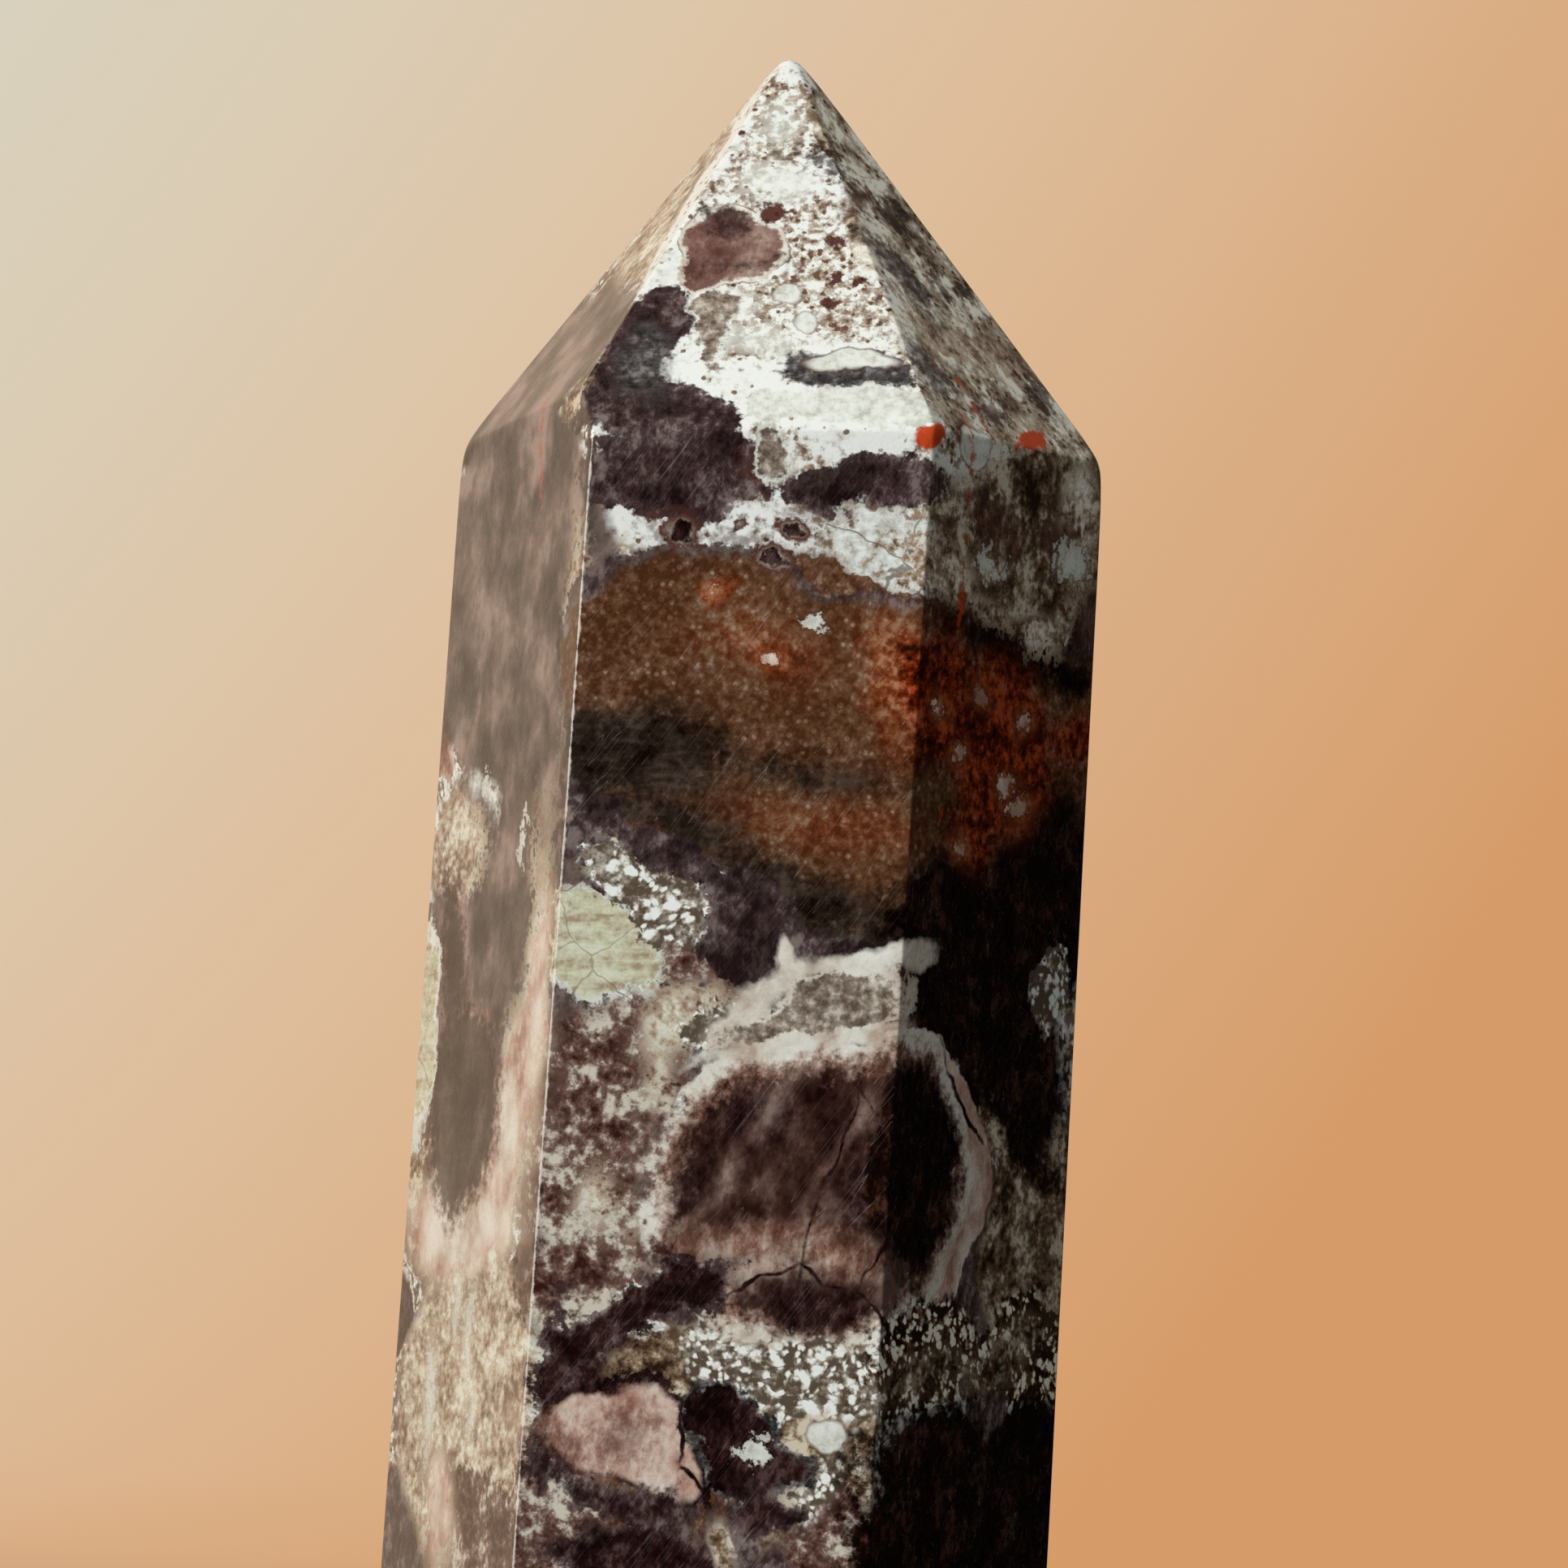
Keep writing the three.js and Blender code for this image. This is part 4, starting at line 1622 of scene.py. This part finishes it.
    def _shade(self, shader: bpy.types.Node, colour: bpy.types.NodeSocket) -> None:
        """Feeds the shader with colour, gloss and the fine relief of the polish."""
        sheet, polish, mottle = self.sheet, self.polish, self.textures[Texture.MOTTLE]
        shader.inputs["IOR"].default_value = polish.ior
        brightness = sheet.add("ShaderNodeRGBToBW", {0: colour}).outputs[0]
        gloss = sheet.math("MULTIPLY_ADD", brightness, polish.pale_rough, polish.least_rough)
        lines = sheet.stretched(self.place, polish.hair_turn, polish.hair_stretch)
        hair = sheet.noise(lines, 1.0, 1).outputs[0]
        hair = sheet.math("ABSOLUTE", sheet.math("SUBTRACT", hair, 0.5))
        scratch = sheet.smooth(hair, polish.hair_width, 0.0)
        faint = sheet.math("MULTIPLY", sheet.math("MULTIPLY", scratch, mottle), polish.hair_cover)
        sheet.feed(shader.inputs["Base Color"], sheet.mix(faint, colour, polish.hair_colour))
        rough = sheet.math("MULTIPLY_ADD", scratch, polish.hair_rough, gloss)
        sheet.feed(shader.inputs["Roughness"], rough)
        relief = sheet.math("MULTIPLY_ADD", scratch, polish.hair_depth, self.textures[Texture.FINE])
        feeds = {"Strength": polish.relief_strength, "Distance": polish.relief, "Height": relief}
        bump = sheet.add("ShaderNodeBump", feeds)
        sheet.feed(shader.inputs["Normal"], bump.outputs[0])


@dataclass(frozen=True)
class Softbox:
    """One soft light that looks at the tower.

    turn and rise say where it hangs, in degrees from the front towards the right and above the level.
    lights and shines say whether the stone's body and its polish take it.
    """

    name: str
    turn: float
    rise: float
    distance: float
    wide: float
    tall: float
    watts: float
    colour: Colour
    lights: bool = True
    shines: bool = True

    def hang(self, aim_height: float) -> None:
        """Makes the light."""
        data = bpy.data.lights.new(self.name, "AREA")
        data.shape, data.size, data.size_y = "RECTANGLE", self.wide * MM, self.tall * MM
        data.energy, data.color = self.watts, self.colour
        around, up = math.radians(self.turn), math.radians(self.rise)
        away = Vector((math.sin(around) * math.cos(up), -math.cos(around) * math.cos(up), math.sin(up)))
        light = bpy.data.objects.new(self.name, data)
        light.location = (away * self.distance + UP * aim_height) * MM
        light.rotation_euler = away.to_track_quat("Z", "Y").to_euler()
        light.visible_camera = False
        light.visible_diffuse = self.lights
        light.visible_glossy = self.shines
        bpy.context.scene.collection.objects.link(light)


# Painted light: the tones in which the backdrop glows, from pale to a darker orange across it.
BACKDROP_GLOW_TONES = (
    (0.0, (0.68, 0.65, 0.53)),
    (0.25, (0.71, 0.60, 0.45)),
    (0.5, (0.73, 0.52, 0.34)),
    (0.75, (0.70, 0.42, 0.23)),
    (1.0, (0.67, 0.33, 0.14)),
)
ROOM_TONES = (
    (0.0, (0.002, 0.001, 0.001)),
    (0.3, (0.009, 0.007, 0.005)),
    (0.5, (0.05, 0.042, 0.035)),
    (0.75, (0.38, 0.30, 0.23)),
    (1.0, (0.9, 0.66, 0.45)),
)
ROOM_BRIGHTEST = (-0.86, 0.5, 0.1)
SOFTBOXES = (
    Softbox("key", -24, 32, 900, 500, 500, 10.3, (1.0, 1.0, 1.0), shines=False),
    Softbox("fill", 60, 30, 900, 500, 500, 1.0, (1.0, 0.97, 0.92), shines=False),
    Softbox("edge_strip", -65, 12, 700, 220, 220, 1.8, (1.0, 1.0, 1.0), lights=False),
)


@dataclass
class Studio:
    """The plain pale sweep, the soft lights and the camera.

    Angles are in degrees and lengths in millimetres. The backdrop is painted light: it glows, and its glow
    goes by a number that grows by tone_across for each metre to the right, and by tone_up for each metre
    up, from tone_start.
    """

    camera_turn: float = 5.0
    camera_rise: float = -3.0
    camera_roll: float = 3.4
    camera_distance: float = 400.0
    aim_across: float = 1.19
    aim_height: float = 60.7
    lens: float = 195.1
    sensor: float = 36.0
    clip_start: float = 10.0
    floor_radius: float = 800.0
    curve_radius: float = 400.0
    wall_height: float = 1500.0
    curve_steps: int = 24
    turn_steps: int = 96
    weld: float = 0.01
    floor_colour: Colour = (0.62, 0.50, 0.38)
    floor_roughness: float = 0.9
    floor_fade: tuple[float, float] = (0.12, 0.6)
    tone_start: float = 1.05
    tone_across: float = 2.5
    tone_up: float = -1.35

    def build(self) -> None:
        """Makes the whole studio."""
        self._camera()
        self._sweep()
        for softbox in SOFTBOXES:
            softbox.hang(self.aim_height)
        self._world()

    def _camera(self) -> None:
        """Puts the camera where the photograph was taken from."""
        turn, rise, roll = (math.radians(a) for a in (self.camera_turn, self.camera_rise, self.camera_roll))
        back = Vector((math.sin(turn) * math.cos(rise), -math.cos(turn) * math.cos(rise), math.sin(rise)))
        right = Vector((math.cos(turn), math.sin(turn), 0))
        up = back.cross(right)
        aim = right * self.aim_across + UP * self.aim_height
        tilted = right * math.cos(roll) + up * math.sin(roll)
        axes = Matrix((tilted, back.cross(tilted), back)).transposed().to_4x4()
        data = bpy.data.cameras.new("camera")
        data.lens, data.sensor_width, data.clip_start = self.lens, self.sensor, self.clip_start * MM
        camera = bpy.data.objects.new("camera", data)
        camera.matrix_world = Matrix.Translation((aim + back * self.camera_distance) * MM) @ axes
        bpy.context.scene.collection.objects.link(camera)
        bpy.context.scene.camera = camera

    def _sweep(self) -> None:
        """Makes the round floor that curves up into a wall."""
        profile = [(out, 0.0) for out in (0.0, self.floor_radius * 0.5)]
        for step in range(self.curve_steps + 1):
            angle = math.radians(90 * step / self.curve_steps)
            out = self.floor_radius + self.curve_radius * math.sin(angle)
            profile.append((out, self.curve_radius * (1 - math.cos(angle))))
        profile.append((self.floor_radius + self.curve_radius, self.wall_height))
        bm = bmesh.new()
        chain = [bm.verts.new((out * MM, 0, height * MM)) for out, height in profile]
        edges = [bm.edges.new(pair) for pair in zip(chain, chain[1:])]
        spin = {"cent": (0, 0, 0), "axis": UP, "angle": math.tau, "steps": self.turn_steps}
        bmesh.ops.spin(bm, geom=chain + edges, use_merge=True, **spin)
        bmesh.ops.remove_doubles(bm, verts=bm.verts, dist=self.weld * MM)
        bmesh.ops.recalc_face_normals(bm, faces=bm.faces)
        mesh = bpy.data.meshes.new("sweep")
        bm.to_mesh(mesh)
        bm.free()
        mesh.shade_smooth()
        sweep = bpy.data.objects.new("sweep", mesh)
        bpy.context.scene.collection.objects.link(sweep)
        sweep.visible_diffuse = sweep.visible_glossy = sweep.visible_shadow = False
        mesh.materials.append(self._paper())

    def _paper(self) -> bpy.types.Material:
        """The sweep's paper: a plain floor that turns into a glowing backdrop, whose glow and its gradient
        are painted light in place of lit paper.
        """
        material = bpy.data.materials.new("sweep_paper")
        material.use_nodes = True
        tree = material.node_tree
        sheet = NodeSheet(tree)
        place = sheet.add("ShaderNodeTexCoord").outputs["Object"]
        parts = sheet.add("ShaderNodeSeparateXYZ", {0: place}).outputs
        slant = sheet.math("MULTIPLY_ADD", parts[0], self.tone_across, self.tone_start)
        slant = sheet.math("MULTIPLY_ADD", parts[2], self.tone_up, slant)
        # The wall glows: painted light in place of lit paper.
        wall = sheet.add("ShaderNodeEmission", {"Color": sheet.ramp(slant, BACKDROP_GLOW_TONES)})
        paper = tree.nodes["Principled BSDF"]
        sheet.feed(paper.inputs["Base Color"], self.floor_colour)
        paper.inputs["Roughness"].default_value = self.floor_roughness
        out = sheet.vector("LENGTH", sheet.vector("MULTIPLY", place, (1, 1, 0)))
        share = sheet.smooth(out, *self.floor_fade)
        mixed = sheet.add("ShaderNodeMixShader", {0: share, 1: paper.outputs[0], 2: wall.outputs[0]})
        sheet.feed(tree.nodes["Material Output"].inputs["Surface"], mixed.outputs[0])
        return material

    @staticmethod
    def _world() -> None:
        """Fills the room with a soft light that is brightest behind the tower's left."""
        world = bpy.data.worlds.new("room")
        world.use_nodes = True
        sheet = NodeSheet(world.node_tree)
        way = sheet.add("ShaderNodeTexCoord").outputs["Generated"]
        bright = sheet.vector("DOT_PRODUCT", way, ROOM_BRIGHTEST)
        tone = sheet.ramp(sheet.math("MULTIPLY_ADD", bright, 0.5, 0.5), ROOM_TONES)
        sheet.feed(world.node_tree.nodes["Background"].inputs["Color"], tone)
        bpy.context.scene.world = world


# Each flake's place up the ridge, half length and half width, in millimetres.
CHIP_SPOTS = ((0.3, 0.5, 0.26), (1.1, 0.8, 0.2), (2.3, 0.9, 0.24), (3.7, 0.6, 0.16), (4.6, 0.35, 0.13))
CHIP_LIFT = 0.08


def edge_chips(flats: TowerFlats) -> list[Chip]:
    """The flakes that the photograph shows on the left ridge of the point, above the shoulder.

    Args:
        flats: the tower's flats.

    Returns:
        A chip for each of CHIP_SPOTS.
    """
    front = flats.find(Kind.FACET, Side.FRONT)
    left = flats.find(Kind.FACET, Side.LEFT)
    ridge = left.normal.cross(front.normal).normalized()
    if ridge.z < 0:
        ridge.negate()
    pair = {flats.flats.index(front), flats.flats.index(left)}
    ends = [point for point, numbers in flats.corners() if pair < numbers]
    foot = min(ends, key=lambda point: point.z)
    lift = (front.normal + left.normal).normalized() * CHIP_LIFT
    return [Chip(foot + ridge * up + lift, ridge, along, over) for up, along, over in CHIP_SPOTS]


def main() -> None:
    """Builds the stone and the studio."""
    logging.basicConfig(level=logging.INFO)
    flats = TowerFlats(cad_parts["jasper_tower"])
    LOG.info("%d flats", len(flats.flats))
    shape = StoneShape(flats, chips=edge_chips(flats))
    stone = shape.build("polished_stone")
    stone.data.materials.append(JasperMaterial(flats).build())
    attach(stone, "root")
    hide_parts("jasper_tower")
    Studio().build()
    bpy.context.scene.view_settings.view_transform = "Standard"


if __name__ == "__main__":
    main()
